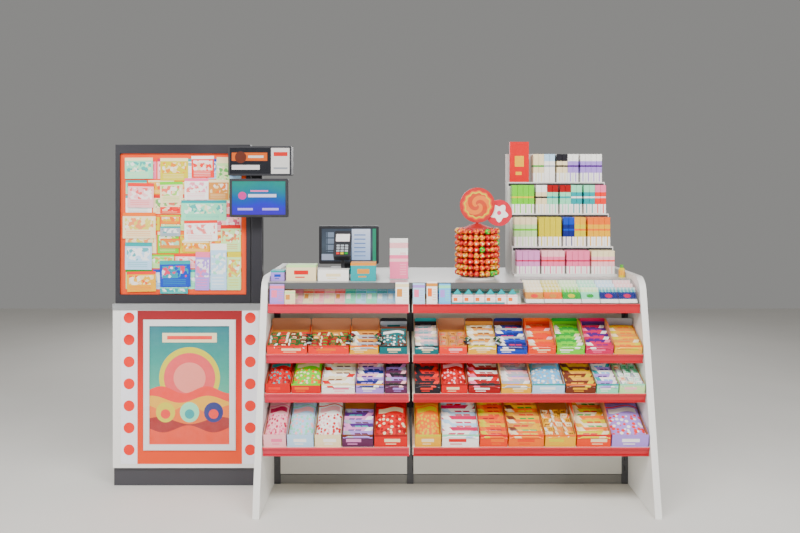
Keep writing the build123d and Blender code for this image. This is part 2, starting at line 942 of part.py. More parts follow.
def card_terminal():
    """Payment terminal leaning on a short pole."""
    foot = upright_disc(terminal_x, terminal_y, worktop_top, terminal_foot, terminal_foot_height)
    pole = upright_disc(terminal_x, terminal_y, worktop_top, terminal_pole, terminal_height)
    body = Box(terminal_width, terminal_length, terminal_thick)
    body = fillet(body.edges().filter_by(Axis.Z), terminal_corner)
    place = Pos(terminal_x, terminal_y, worktop_top + terminal_height + terminal_thick / 2)
    return foot + pole + place * Rot(X=terminal_tilt) * body


def leaflet_stand():
    """Clear stand bent from one sheet."""
    y0 = leaflet_y
    t = leaflet_sheet
    return across([(y0, worktop_top), (y0 + leaflet_foot, worktop_top), (y0 + leaflet_foot, worktop_top + t),
                   (y0 + t, worktop_top + t), (y0 + leaflet_lean + t, worktop_top + leaflet_height),
                   (y0 + leaflet_lean, worktop_top + leaflet_height)],
                  leaflet_x - leaflet_width / 2, leaflet_x + leaflet_width / 2)


def counter_boxes():
    boxes = []
    x = x_bays + box_row_start
    for width, height in zip(box_row_widths, box_row_heights):
        boxes.append(block(x, x + width, box_row_y - box_row_depth / 2, box_row_y + box_row_depth / 2,
                           worktop_top, worktop_top + height))
        x += width + box_row_gap
    return boxes


def sweet_bottle():
    body = upright_disc(bottle_x, bottle_y, worktop_top, bottle_radius, bottle_height)
    body = chamfer(body.edges().filter_by(GeomType.CIRCLE).sort_by(Axis.Z)[-1], bottle_radius - bottle_neck)
    return body + upright_disc(bottle_x, bottle_y, worktop_top, bottle_neck, bottle_height + bottle_cap)


nodes = {
    "end_panel_left": lambda: end_panel_at(x_counter),
    "end_panel_right": lambda: end_panel_at(x_bays_end),
    "uprights": uprights,
    "back_panels": back_panels,
    "base_rails": base_rails,
    "shelf_bottom": lambda: trays("bottom"),
    "shelf_middle": lambda: trays("middle"),
    "shelf_upper": lambda: trays("upper"),
    "display_deck": lambda: trays("deck"),
    "shelf_brackets": shelf_brackets,
    "price_rails_left": lambda: price_rails("left"),
    "price_rails_right": lambda: price_rails("right"),
    "worktop": worktop,
    "worktop_edge": worktop_edge,
    "display_glass": display_glass,
    "ticket_stands": ticket_stands,
    "card_case": card_case,
    "case_cards": case_cards,
    "rear_divider": rear_divider,
    "rear_bottom": rear_bottom,
    "rear_shelves": rear_shelves,
    "rear_plinth": rear_plinth,
    "wing_front": wing_front,
    "wing_side": wing_side,
    "wing_top": wing_top,
    "wing_edge": wing_edge,
    "wing_plinth": wing_plinth,
    "wing_shelves": wing_shelves,
    "dot_strips": dot_strips,
    "poster_field": poster_field,
    "poster_frame": poster_frame,
    "poster_sheet": poster_sheet,
    "board_frame": board_frame,
    "board_panel": board_panel,
    "board_cards": board_cards,
    "screen_post": screen_post,
    "screen_bracket": screen_bracket,
    "screen": screen,
    "sign_box": sign_box,
    "lollipop_base": tower_base,
    "lollipop_drum": tower_drum,
    "lollipop_sign": tower_sign,
    "rack_frame": rack_frame,
    "rack_boxes": rack_boxes,
    "rack_banner": rack_banner,
    "till_stand": till_stand,
    "till_screen": till_screen,
    "card_terminal": card_terminal,
    "leaflet_stand": leaflet_stand,
    "counter_boxes": counter_boxes,
    "sweet_bottle": sweet_bottle,
}
for tier in carton_sizes:
    for bay in bays:
        nodes[f"cartons_{tier}_{bay}"] = lambda tier=tier, bay=bay: cartons(tier, bay)

os.makedirs("parts", exist_ok=True)
for name, make in nodes.items():
    made = make()
    solids = [s for shape in (made if isinstance(made, list) else [made]) for s in shape.solids()]
    export_step(Compound(children=solids) if len(solids) > 1 else solids[0], f"parts/{name}.step")
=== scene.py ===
# %% [markdown]
# # A kiosk sales counter
# The counter's boards, shelves and posts come from the construction model. This lesson gives every
# surface its finish and fills the shelves with cartons of sweets, tickets, notices, slim boxes and
# lollipops. All sizes are in metres, in the construction model's own frame.

# %% Load the frame
import bmesh
import bpy
import math
import random
from collections import namedtuple
from mathutils import Matrix, Vector


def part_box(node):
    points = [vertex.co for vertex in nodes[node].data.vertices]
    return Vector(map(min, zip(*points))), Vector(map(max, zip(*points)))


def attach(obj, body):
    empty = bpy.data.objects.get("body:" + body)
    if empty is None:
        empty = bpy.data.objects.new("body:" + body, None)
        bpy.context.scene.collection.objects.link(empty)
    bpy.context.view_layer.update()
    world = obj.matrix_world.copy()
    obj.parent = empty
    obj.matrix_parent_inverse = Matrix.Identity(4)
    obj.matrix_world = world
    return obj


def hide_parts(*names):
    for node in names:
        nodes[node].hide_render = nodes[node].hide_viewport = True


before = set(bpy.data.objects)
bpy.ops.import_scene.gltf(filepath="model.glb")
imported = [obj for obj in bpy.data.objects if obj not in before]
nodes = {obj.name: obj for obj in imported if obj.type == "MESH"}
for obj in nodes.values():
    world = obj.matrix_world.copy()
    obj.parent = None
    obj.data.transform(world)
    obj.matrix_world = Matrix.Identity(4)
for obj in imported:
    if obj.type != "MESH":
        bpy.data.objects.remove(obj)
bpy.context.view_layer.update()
mm = 0.001
print("nodes in the frame:", len(nodes))

# %% [markdown]
# ## Camera
# The photograph was taken square to the counter, from eye height. Tilting a camera down would make
# the counter's upright edges lean together, so the camera stays level and a lens shift lowers the
# picture, as an architect's lens does.

# %% Camera and picture framing
eye = Vector((0.1155, -3.537, 1.365))
photo_focal_px = 363.0
photo_width_px = 800.0
enlargement = 2.1
sensor_mm = 36.0
picture_drop = -0.10

camera = bpy.data.objects.new("camera", bpy.data.cameras.new("camera"))
bpy.context.scene.collection.objects.link(camera)
camera.location = eye
camera.rotation_euler = (math.radians(90), 0, 0)
camera.data.sensor_width = sensor_mm
camera.data.lens = photo_focal_px * enlargement / photo_width_px * sensor_mm
camera.data.shift_y = picture_drop
bpy.context.scene.camera = camera
print("lens", round(camera.data.lens, 1), "mm")

# %% [markdown]
# ## Inks
# Sweets are printed from a small set of inks. They are written as sRGB hex, the way a printer names
# them, and one function turns them to the linear light that shaders calculate in. Bright lamps wash
# print out, so a printer lays the ink on thicker. The loop below does the same: it lowers an ink's
# weaker channels, which is simpler than correcting every colour by hand.

# %% Inks
def linear(code):
    """An sRGB hex colour as linear red, green and blue."""
    parts = [int(code[i:i + 2], 16) / 255 for i in (0, 2, 4)]
    return [c / 12.92 if c <= 0.04045 else ((c + 0.055) / 1.055) ** 2.4 for c in parts]


printers_inks = {
    "white": "f4f2ee", "cream": "efe3c4", "kraft": "bb967c", "tan": "d3a45c", "brown": "6b4028",
    "black": "1d1b1f", "grey": "a9adb2", "red": "d31f28", "wine": "9c1622", "coral": "ee5a45",
    "vermilion": "e86a0c", "orange": "ee940a", "amber": "e8c008", "yellow": "d2c804",
    "lime": "8ccf25", "green": "2f9a48", "pine": "22603a", "mint": "a5e0c4", "pistachio": "cde6b4",
    "teal": "159a9c", "petrol": "17686a", "sky": "8cc9e8", "ice": "c5dcec", "blue": "2f5fb0",
    "navy": "27356f", "purple": "5b3372", "plum": "5a3650", "lilac": "b9a3d8", "mauve": "dca6cc",
    "magenta": "c81a73", "pink": "f39ab8", "blush": "f8cdd0",
}
ink_depth = 1.7
ink = {}
for name, code in printers_inks.items():
    strongest = max(linear(code))
    ink[name] = [strongest * (part / strongest) ** ink_depth for part in linear(code)]


def rgba(colour, share=1.0):
    """An ink by its name, or an sRGB hex colour, dimmed to a share, as a socket takes it."""
    parts = ink[colour] if colour in ink else linear(colour)
    return (*[part * share for part in parts], 1.0)


print("inks:", len(ink))

# %% [markdown]
# ## Nodes
# Every finish is built from shader nodes. They could be set up one property at a time, but a
# hundred nodes are easier to read when each is one line. So one function adds a node with its
# settings and links, and another starts a material.

# %% Adding nodes and materials
def plug(tree, value, socket):
    """Sets an input, or links to it an output or a node's first output in use."""
    if isinstance(value, bpy.types.Node):
        value = next(output for output in value.outputs if output.enabled)
    if isinstance(value, bpy.types.NodeSocket):
        tree.links.new(value, socket)
    else:
        socket.default_value = rgba(value) if isinstance(value, str) else value


def add(tree, kind, *values, stops=(), **named):
    """Adds one shader node. Names with a capital are its inputs and the others its settings. Values
    go to the inputs in use, in order. Stops are the places and colours of a colour ramp."""
    made = tree.nodes.new("ShaderNode" + kind)
    for name, value in named.items():
        if name[0].islower():
            setattr(made, name, value)
    for socket, value in zip([socket for socket in made.inputs if socket.enabled], values):
        plug(tree, value, socket)
    for name, value in named.items():
        if name[0].isupper():
            plug(tree, value, made.inputs[name.replace("_", " ")])
    while stops and len(made.color_ramp.elements) < len(stops):
        made.color_ramp.elements.new(0.5)
    for k, (place, colour) in enumerate(stops):
        made.color_ramp.elements[k].position = place
        made.color_ramp.elements[k].color = rgba(colour)
    return made


def start(name, **inputs):
    """A new material, its node tree and its shader, whose inputs take the values."""
    print("material", name)
    material = bpy.data.materials.new(name)
    material.use_nodes = True
    tree = material.node_tree
    shader = tree.nodes["Principled BSDF"]
    for key, value in inputs.items():
        plug(tree, value, shader.inputs[key.replace("_", " ")])
    return material, tree, shader


def dress(material, *names):
    """Gives construction pieces one finish."""
    for name in names:
        slots = nodes[name].data.materials
        slots.clear()
        slots.append(material)

# %% [markdown]
# ## Patterns
# Soil, grain, print and pictures are all patterns. Painted images would fix their sharpness and
# need a flattened surface, so patterns are calculated from places instead. A mask is 1 where a
# colour goes and 0 elsewhere, and colours are laid over each other through masks, as inks are.

# %% Masks, waves and layers
def position(tree):
    """X, Y and Z of the shaded place, in metres."""
    return add(tree, "SeparateXYZ", add(tree, "TexCoord").outputs["Object"]).outputs


def both(tree, *masks):
    """1 where every mask is 1. A number among them thins the result to a share."""
    result = masks[0]
    for mask in masks[1:]:
        result = add(tree, "Math", result, mask, operation="MULTIPLY")
    return result


def inside(tree, value, low=None, high=None):
    """1 where value lies above low and below high."""
    limits = [(low, "GREATER_THAN"), (high, "LESS_THAN")]
    return both(tree, *[add(tree, "Math", value, limit, operation=test)
                        for limit, test in limits if limit is not None])


def block(tree, across, up, left, right, bottom, top):
    """1 inside a rectangle."""
    return both(tree, inside(tree, across, left, right), inside(tree, up, bottom, top))


def oval(tree, across, up, centre, radii):
    """1 inside an oval."""
    squares = []
    for value, middle, radius in zip((across, up), centre, radii):
        offset = add(tree, "Math", value, middle, operation="SUBTRACT")
        part = add(tree, "Math", offset, radius, operation="DIVIDE")
        squares.append(add(tree, "Math", part, part, operation="MULTIPLY"))
    return inside(tree, add(tree, "Math", *squares, operation="ADD"), high=1.0)


def stripes(tree, value, count, gap):
    """1 on stripes, a count of them from 0 to 1, each after a gap."""
    part = add(tree, "Math", both(tree, value, count), operation="FRACT")
    return inside(tree, part, low=gap)


def wave(tree, value, pitch, height, middle=0.0, phase=0.0):
    """A sine wave of a height about a middle."""
    turn = add(tree, "Math", value, pitch, phase, operation="MULTIPLY_ADD")
    sine = add(tree, "Math", turn, operation="SINE")
    return add(tree, "Math", sine, height, middle, operation="MULTIPLY_ADD")


def mottle(tree, size_mm, detail=2, stretch=(1, 1, 1)):
    """Soft blotches about size_mm wide, from 0 to 1."""
    place = add(tree, "Mapping", add(tree, "TexCoord").outputs["Object"], Scale=stretch)
    return add(tree, "TexNoise", place, Scale=1 / (size_mm * mm), Detail=detail)


def layers(tree, tone, *coats):
    """Colours laid over a tone, one after another, each through its mask."""
    for mask, colour in coats:
        tone = add(tree, "Mix", mask, tone, colour, data_type="RGBA")
    return tone


def coat(tree, shader, tone, grain, relief_mm, strength):
    """Gives a shader its colour, and the grain's relief."""
    plug(tree, tone, shader.inputs["Base Color"])
    relief = add(tree, "Bump", Height=grain, Distance=relief_mm * mm, Strength=strength)
    plug(tree, relief, shader.inputs["Normal"])

# %% [markdown]
# ## Boards
# The end panels, the wing and the clerk's shelves are melamine-faced chipboard: printed paper
# pressed with resin under a hot plate. The plate leaves a fine pearl texture that breaks up
# reflections, and hands leave the board a little greyer in places. Both come from blotches of their
# real sizes, because the board has no pattern that repeats.

# %% Melamine-faced chipboard
def melamine(name, code, rough=0.38, grain_mm=1.6):
    material, tree, shader = start(name, IOR=1.52)
    soil = mottle(tree, 260, 4)
    tone = layers(tree, code, (both(tree, soil, 0.16), rgba(code, 0.82)),
                  (both(tree, mottle(tree, 7), 0.05), rgba(code, 0.7)))
    coat(tree, shader, tone, mottle(tree, grain_mm, 1), 0.03, 0.5)
    rougher = add(tree, "Math", soil, 0.16, rough - 0.08, operation="MULTIPLY_ADD")
    plug(tree, rougher, shader.inputs["Roughness"])
    return material


dress(melamine("white_melamine_board", "e9e7e2"), "end_panel_left", "end_panel_right",
      "rear_divider", "rear_bottom", "rear_shelves", "wing_front", "wing_side", "wing_shelves")
dress(melamine("graphite_melamine_board", "3c3b40", 0.45), "rear_plinth", "wing_plinth")
dress(melamine("grey_worktop_laminate", "b5b4b0", 0.3), "worktop", "wing_top")
dress(melamine("white_coated_aluminium", "dfe0e0", 0.3, 0.8), "poster_frame")

# %% [markdown]
# ## Metals
# Shelves, brackets and back panels are folded steel with a baked powder coat, which melts into a
# skin with a ripple about 2 mm across and softens highlights. The edges of the worktop and the wing
# are drawn aluminium: the die leaves lines along it that stretch its reflections. All share one
# recipe, since only the size, the stretch and the depth of their marks differ.

# %% Powder-coated steel and anodised aluminium
def even_finish(name, clean, worn, soil, share, grain, relief, rough, swing=0.0, **inputs):
    """One colour, worn through blotches, on a fine grain. Soil and grain are each a size in mm, a
    detail and a stretch, relief is a depth in mm and a strength, and roughness swings with soil."""
    material, tree, shader = start(name, Roughness=rough, **inputs)
    patches = mottle(tree, *soil)
    tone = layers(tree, clean, (both(tree, patches, share), worn))
    coat(tree, shader, tone, mottle(tree, *grain), *relief)
    if swing:
        rougher = add(tree, "Math", patches, swing, rough - swing / 2, operation="MULTIPLY_ADD")
        plug(tree, rougher, shader.inputs["Roughness"])
    return material


coats = {
    "cream": ("e6dfcc", 0.45, "shelf_bottom", "shelf_middle", "shelf_upper", "display_deck",
              "shelf_brackets"),
    "white": ("dddbd2", 0.4, "back_panels"),
    "graphite": ("4b4b4e", 0.45, "uprights"),
    "grey": ("84827d", 0.45, "base_rails"),
    "black": ("26252b", 0.38, "screen_post", "screen_bracket", "board_frame"),
}
for shade, (code, rough, *pieces) in coats.items():
    dress(even_finish(f"{shade}_powder_coated_steel", code, rgba(code, 0.78), (180, 3), 0.2,
                      (2.2, 1), (0.05, 0.5), rough, 0.14, IOR=1.5), *pieces)

die_lines = (3, 3, (0.01, 1, 1))
# the worktop's edge takes the same recipe as the wing's edge, in a darker and rougher grey
for name, code, rough, piece in (("satin_anodised_aluminium", "c9cccf", 0.32, "wing_edge"),
                                 ("darker_drawn_aluminium", "86888a", 0.42, "worktop_edge")):
    dress(even_finish(name, code, rgba(code, 0.7), die_lines, 0.25, die_lines, (0.03, 0.4), rough,
                      0.2, Metallic=1.0), piece)

# %% [markdown]
# ## Price rails
# The rails are extruded PVC. Extruding leaves faint lines along the length, and the surface is
# glossy enough to hold a long highlight. Stretched blotches give the lines, and wider ones the
# fading: the wide bay's rails are a deep red, and the narrow bay's have gone towards pink.

# %% Extruded PVC
def extruded_pvc(name, code, faded):
    material, tree, shader = start(name, Roughness=0.34, IOR=1.53, Coat_Weight=0.1,
                                   Coat_Roughness=0.2)
    streak = mottle(tree, 6, 2, (0.02, 1, 1))
    tone = layers(tree, code, (mottle(tree, 240, 2, (1, 4, 4)), faded),
                  (both(tree, streak, 0.18), rgba(code, 0.6)))
    coat(tree, shader, tone, streak, 0.05, 0.4)
    return material


dress(extruded_pvc("red_extruded_pvc", "b80418", "cc1028"), "price_rails_right")
dress(extruded_pvc("faded_red_extruded_pvc", "c4102c", "dc3450"), "price_rails_left")

# %% [markdown]
# ## Glass and acrylic
# The display's panes are float glass, faintly green because of the iron in its sand. The card case
# and the leaflet stand are acrylic, which is clearer and a little softer in its shine. Light that
# passes a glass shader is lost to what lies behind it, so a low alpha lets the lamps through, where
# more lamps behind the glass would show in it.

# %% Clear sheets
def clear_sheet(name, code, ior, rough):
    material, tree, shader = start(name, IOR=ior, Transmission_Weight=1.0, Alpha=0.25)
    haze = both(tree, mottle(tree, 120), 0.3)
    plug(tree, layers(tree, code, (haze, "white")), shader.inputs["Base Color"])
    smear = add(tree, "Math", mottle(tree, 60, 3), 0.08, rough, operation="MULTIPLY_ADD")
    plug(tree, smear, shader.inputs["Roughness"])
    return material


dress(clear_sheet("float_glass", "f0faf6", 1.52, 0.0), "display_glass")
dress(clear_sheet("clear_acrylic", "f2f7f9", 1.49, 0.02), "card_case", "leaflet_stand")

# %% [markdown]
# ## Printed surfaces
# Cartons, wrappers, cards and notices are printed. A material for each of them would mean hundreds,
# so each printed item carries its own three inks and its own coordinates on its mesh, and one
# material prints them all. The prints are plain bands, ovals and bars, with no lettering. Film also
# shows the ribs that hot jaws press into its seals, a little coarser here so that they show.

# %% Printing from stored inks
ink_layers = ("ink_a", "ink_b", "ink_c")


def printed(name, design, grain, relief, ribs=None, **inputs):
    """A material that prints its item's first ink all over and lets design add the others. Ribs are
    the axis along the item, their count, the spans that they fill, and their depth in mm."""
    material, tree, shader = start(name, Specular_IOR_Level=0.2, **inputs)
    stored = [add(tree, "Attribute", attribute_name=key) for key in (*ink_layers, "spot")]
    spot = add(tree, "SeparateXYZ", stored.pop().outputs["Vector"]).outputs
    wear = both(tree, mottle(tree, 25, 3), 0.03)
    tone = layers(tree, design(tree, *spot, *stored), (wear, "grey"))
    coat(tree, shader, tone, mottle(tree, *grain), *relief)
    if ribs:
        axis, count, spans, depth_mm = ribs
        ripple = wave(tree, spot[axis], 2 * math.pi * count, 0.5, 0.5)
        ends = [inside(tree, spot[axis], *span) for span in spans]
        height = both(tree, ripple, add(tree, "Math", *ends, operation="ADD"))
        seal = add(tree, "Bump", Height=height, Distance=depth_mm * mm, Strength=1.0,
                   Normal=shader.inputs["Normal"].links[0].from_socket)
        plug(tree, seal, shader.inputs["Normal"])
    return material


def wrapper_design(tree, x, y, z, a, b, c):
    """A slanted block at one end, two bars on the rest and a thin line along the seam."""
    along = add(tree, "Math", y, 0.2, x, operation="MULTIPLY_ADD")
    return layers(tree, a, (inside(tree, along, 0.17, 0.37), b),
                  (block(tree, along, y, 0.5, 0.7, 0.42, 0.62), c),
                  (block(tree, along, y, 0.74, 0.94, 0.42, 0.62), c),
                  (inside(tree, y, 0.2, 0.27), c))


def pouch_design(tree, x, y, z, a, b, c):
    """A wavy band and a line across the upper part and loose sweets, drawn as spots, below."""
    grid = add(tree, "CombineXYZ", both(tree, x, 8.0), 0.5, both(tree, z, 13.0))
    cells = add(tree, "TexVoronoi", grid, Scale=1.0, Randomness=0.9).outputs
    which = add(tree, "SeparateColor", cells["Color"])
    sweets = layers(tree, b, (inside(tree, which, low=0.5), c))
    sweet = both(tree, inside(tree, cells["Distance"], high=0.42), inside(tree, z, high=0.55))
    level = wave(tree, x, 7.0, 0.03, z)
    return layers(tree, a, (sweet, sweets), (block(tree, x, level, 0.1, 0.9, 0.6, 0.72), b),
                  (inside(tree, level, 0.76, 0.79), c), (inside(tree, z, low=0.88), c))


shine = {"IOR": 1.5, "Roughness": 0.4, "Coat_Weight": 0.45, "Coat_Roughness": 0.09}
film = printed("printed_wrapper_film", wrapper_design, (9, 3), (0.5, 0.6),
               (0, 60, ((0.0, 0.07), (0.93, 1.0)), 0.3), **shine)
pouch_film = printed("printed_pouch_film", pouch_design, (16, 3), (1.4, 0.6),
                     (2, 70, ((0.0, 0.04), (0.94, 1.0)), 0.5), **shine)

# %% [markdown]
# ## Printed board
# Folding cartons and cards are coated board with a matt varnish. The varnish hides the fibres but
# for a faint tooth about a millimetre wide, which is all the relief that they need. Their print is
# simpler than a wrapper's, because a carton is mostly one colour with a label.

# %% Cartons and cards
def carton_design(tree, x, y, z, a, b, c):
    """A plain panel with a label bar, a thin line under it and a band along the top."""
    return layers(tree, a, (block(tree, x, z, 0.26, 0.74, 0.4, 0.66), b),
                  (inside(tree, z, 0.84, 1.01), c), (block(tree, x, z, 0.3, 0.62, 0.2, 0.28), b))


def card_design(tree, x, y, z, a, b, c):
    """A heading bar, a picture block and lines of small bars."""
    lines = both(tree, stripes(tree, z, 9.0, 0.6), block(tree, x, z, 0.56, 0.9, 0.12, 0.7), 0.55)
    return layers(tree, a, (inside(tree, z, 0.78, 0.92), b),
                  (block(tree, x, z, 0.1, 0.5, 0.34, 0.7), c), (lines, b))


card_tooth = (0.02, 0.3)
carton_print = printed("printed_folding_carton", carton_design, (1.5, 1), (0.03, 0.4),
                       Roughness=0.42, IOR=1.48)
card_print = printed("coated_printed_card", card_design, (0.9, 1), card_tooth, Roughness=0.5,
                     IOR=1.47)

# %% [markdown]
# ## Building many small things
# The shelves hold hundreds of items of a few kinds, and an object for each would be slow to handle.
# A heap gathers the points and faces of one kind and turns them into one mesh. With each item it
# stores the three inks and a spot: where each point lies in its item, from 0 to 1 on each axis.

# %% The heap
def extent(points):
    """Lowest and highest corner of some points."""
    return (Vector([min(values) for values in zip(*points)]),
            Vector([max(values) for values in zip(*points)]))


class Heap:
    """Many items of one kind, which become one piece."""

    def __init__(self):
        self.points, self.faces, self.inks, self.spots = [], [], [], []

    def put(self, shape, place, colours, shift=0.0, turned=False):
        """Adds a shape, a pair of points and faces, at a place, with its ink names. The print may
        be shifted along X or start from the other end."""
        points, faces = shape
        low, high = extent(points)
        first = len(self.points)
        for point in points:
            x, y, z = [(c - a) / max(b - a, 1e-6) for c, a, b in zip(point, low, high)]
            self.spots.append(((1 - x if turned else x) + shift, y, z))
            self.points.append(place @ Vector(point))
        self.faces += [[first + i for i in face] for face in faces]
        self.inks += [colours.split()] * len(points)

    def piece(self, name, material, body="counter", slot=None, replaces=None, smooth=False):
        """The heap as one object that rides on a body."""
        mesh = bpy.data.meshes.new(name)
        mesh.from_pydata(self.points, [], self.faces)
        for k, key in enumerate(ink_layers):
            layer = mesh.attributes.new(key, "FLOAT_COLOR", "POINT")
            layer.data.foreach_set("color", [c for names in self.inks for c in rgba(names[k])])
        layer = mesh.attributes.new("spot", "FLOAT_VECTOR", "POINT")
        layer.data.foreach_set("vector", [c for spot in self.spots for c in spot])
        mesh.materials.append(material)
        mesh.validate()
        if smooth:
            mesh.shade_smooth()
            mesh.set_sharp_from_angle(angle=math.radians(40))
        made = bpy.data.objects.new(name, mesh)
        bpy.context.scene.collection.objects.link(made)
        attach(made, body)
        if replaces:
            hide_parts(replaces)
        print(name, "faces", len(mesh.polygons))


def at(x, y, z, **turns):
    """A place in metres, turned about its own axes by degrees, in the order given."""
    place = Matrix.Translation((x, y, z))
    for axis, degrees in turns.items():
        place = place @ Matrix.Rotation(math.radians(degrees), 4, axis)
    return place

# %% [markdown]
# ## Shapes of the goods
# A bar in a flow wrap is a tube of film, filled in the middle and pressed flat at both ends. So it
# is built as a skin over a row of rings, and the same skin closes sticks and flat plates. Film
# could be draped by a cloth simulation, but a few formulas give the same look at this size, and
# exactly the same shape every time.

# %% Skins and wrapped bars
def circle(count):
    """Points round a circle of radius 1."""
    turns = [2 * math.pi * k / count for k in range(count)]
    return [(math.cos(turn), math.sin(turn)) for turn in turns]


def skin(*rings):
    """A closed shape from equal rings of points, one after another, with a flat cap at each end."""
    around, count = len(rings[0]), len(rings) * len(rings[0])
    faces = [tuple(reversed(range(around))), tuple(range(count - around, count))]
    for first in range(0, count - around, around):
        for k in range(around):
            a, b = first + k, first + (k + 1) % around
            faces.append((a, b, b + around, a + around))
    return [point for ring in rings for point in ring], faces


def flow_wrap(length, width, height, around=12):
    """A wrapped bar that lies along X with its base at Z 0."""
    crimp = min(9 * mm, 0.12 * length)
    fullness = [(0, 0.05), (0.5, 0.07), (1, 0.05), (1.6, 0.62), (2.6, 0.97)]
    stations = [(steps * crimp - length / 2, full) for steps, full in fullness]
    stations += [(0, 1.0)] + [(-x, full) for x, full in reversed(stations)]
    # a squared circle has flat sides and rounded edges
    outline = [[math.copysign(abs(c) ** 0.55, c) for c in point] for point in circle(around)]
    return skin(*[[(x, across * width / 2 * (1 + 0.06 * (1 - full)), height / 2 * (1 + up * full))
                   for across, up in outline] for x, full in stations])


print("faces of a wrapped bar:", len(flow_wrap(100 * mm, 31 * mm, 14 * mm)[1]))

# %% [markdown]
# ## Bags
# A bag of sweets is two sheets of film, sealed all round. It is plumpest in the middle, its film
# pulls into creases near the seals, and its sides draw in as it fills. Two grids of points follow
# these rules, joined by a rim, and a seed gives each bag creases of its own.

# %% A bag
def pouch(width, height, fat, seed):
    """A standing bag with its front towards -Y and its base at Z 0."""
    columns, rows = 12, 14
    dice = random.Random(seed)
    phases = [dice.uniform(0, 6.28) for _ in range(3)]
    points = []
    for side in (-1, 1):
        for row in range(rows + 1):
            for column in range(columns + 1):
                u, v = column / columns, row / rows
                filled = math.sin(math.pi * min(max((v - 0.04) / 0.88, 0), 1))
                plump = (filled * math.sin(math.pi * u)) ** 0.55
                crease = 0.05 * math.sin(14 * u + phases[0]) * (1 - plump)
                crease += 0.04 * math.sin(9 * v + 5 * u + phases[1])
                half_fat = fat / 2 * max(plump * (1 + crease), 0)
                points.append(((u - 0.5) * width * (1 - 0.05 * math.sin(math.pi * v)),
                               side * (half_fat + 0.3 * mm),
                               v * (height + 1.5 * mm * math.sin(5 * u + phases[2]))))
    stride, half = columns + 1, (columns + 1) * (rows + 1)
    corners = [row * stride + column for row in range(rows) for column in range(columns)]
    faces = [(a, a + 1, a + stride + 1, a + stride) for a in corners]
    faces += [tuple(half + i for i in reversed(face)) for face in faces]
    rim = [*range(columns), *range(columns, rows * stride + columns, stride),
           *range(half - 1, rows * stride, -1), *range(rows * stride, 0, -stride)]
    faces += [(b, a, half + a, half + b) for a, b in zip(rim, rim[1:] + rim[:1])]
    return points, faces


print("faces of a bag:", len(pouch(100 * mm, 150 * mm, 30 * mm, 1)[1]))

# %% [markdown]
# ## Boxes and plates
# A slim box is a folded carton, and folding leaves its edges about a millimetre round. Blender's
# own bevel gives a box that edge, and light catches on it. Walls, cards and notes are flat plates,
# cut from an outline as board is.

# %% Boxes and plates
def shape_of(form):
    """The points and faces of a bmesh, which is freed."""
    form.verts.index_update()
    points = [tuple(vertex.co) for vertex in form.verts]
    faces = [[vertex.index for vertex in face.verts] for face in form.faces]
    form.free()
    return points, faces


def rounded_box(width, depth, height, edge=0.8 * mm):
    """A box with bevelled edges, its base at Z 0 and its middle on the Z axis."""
    form = bmesh.new()
    size = Matrix.Diagonal((width, depth, height, 1))
    bmesh.ops.create_cube(form, size=1, matrix=at(0, 0, height / 2) @ size)
    bmesh.ops.bevel(form, geom=form.edges[:], offset=edge, segments=1, profile=0.5,
                    affect="EDGES")
    return shape_of(form)


def plate(outline, thick):
    """A flat plate in the XZ plane, thick along +Y. Seen from in front, its outline runs
    anticlockwise."""
    return skin([(x, thick, z) for x, z in outline], [(x, 0, z) for x, z in outline])


def sheet(width, height, thick):
    """A rectangular plate with a corner at the origin."""
    return plate([(0, 0), (width, 0), (width, height), (0, height)], thick)


print("faces of a rounded box:", len(rounded_box(60 * mm, 30 * mm, 90 * mm)[1]))

# %% [markdown]
# ## Finding where things stand
# The construction model already says how wide each carton, card and slim box is. Typing the sizes
# in again could let the two drift apart, so its solids are read back one by one. The goods then fit
# their trays to the millimetre and follow any later change.

# %% Solids of a construction piece
cells_per_metre = 20000


def solids(name):
    """The separate solids of a construction piece, left to right, each as points and faces. Points
    in the same cell of 0.05 mm count as one, and solids are faces that share points."""
    mesh = nodes[name].data
    keys = [tuple(round(c * cells_per_metre) for c in vertex.co) for vertex in mesh.vertices]
    parent = {key: key for key in keys}

    def root(key):
        while parent[key] != key:
            parent[key] = parent[parent[key]]
            key = parent[key]
        return key

    for face in mesh.polygons:
        for i in face.vertices:
            parent[root(keys[i])] = root(keys[face.vertices[0]])
    groups = {}
    for face in mesh.polygons:
        groups.setdefault(root(keys[face.vertices[0]]), []).append(face.vertices)
    found = []
    for faces in groups.values():
        index = {i: k for k, i in enumerate(dict.fromkeys(i for face in faces for i in face))}
        found.append(([tuple(mesh.vertices[i].co) for i in index],
                      [[index[i] for i in face] for face in faces]))
    corners = [extent(points)[0] for points, _ in found]
    order = sorted(range(len(found)), key=lambda k: (round(corners[k].x, 3), corners[k].z))
    return [found[k] for k in order]


def reprint(name, palette, material, slot):
    """Prints each solid of a construction piece with its own inks from the palette."""
    heap = Heap()
    for k, shape in enumerate(solids(name)):
        heap.put(shape, Matrix(), palette[k % len(palette)])
    heap.piece("printed_" + name, material, slot=slot, replaces=name)


tray_tilt = 14.5
Carton = namedtuple("Carton", "place width depth header lip")


def cartons(tier, bay):
    """The cartons of one tray. Each one's place starts at its lower front left corner, with Y along
    the tray's slope. The header is its back's height and the lip its front's."""
    found = []
    for points, _ in solids(f"cartons_{tier}_{bay}"):
        low, high = extent(points)
        _, y, z = min(points, key=lambda point: point[2])
        place = at(low.x, y, z, X=tray_tilt)
        flat = [place.inverted() @ Vector(point) for point in points]
        back = extent(flat)[1]
        lip = max(point.z for point in flat if point.y < 1 * mm)
        found.append(Carton(place, high.x - low.x, back.y, back.z, lip))
    return found


print("cartons on the bottom left tray:", len(cartons("bottom", "left")))

# %% [markdown]
# ## Display cartons
# Sweets are sold from the carton they travel in. Its front is torn down to a low lip, its sides
# slope up and its back stands as a header. The board is about a millimetre thick, printed outside
# and plain kraft inside. Each wall is a plate of its own, so that the edges show their thickness.

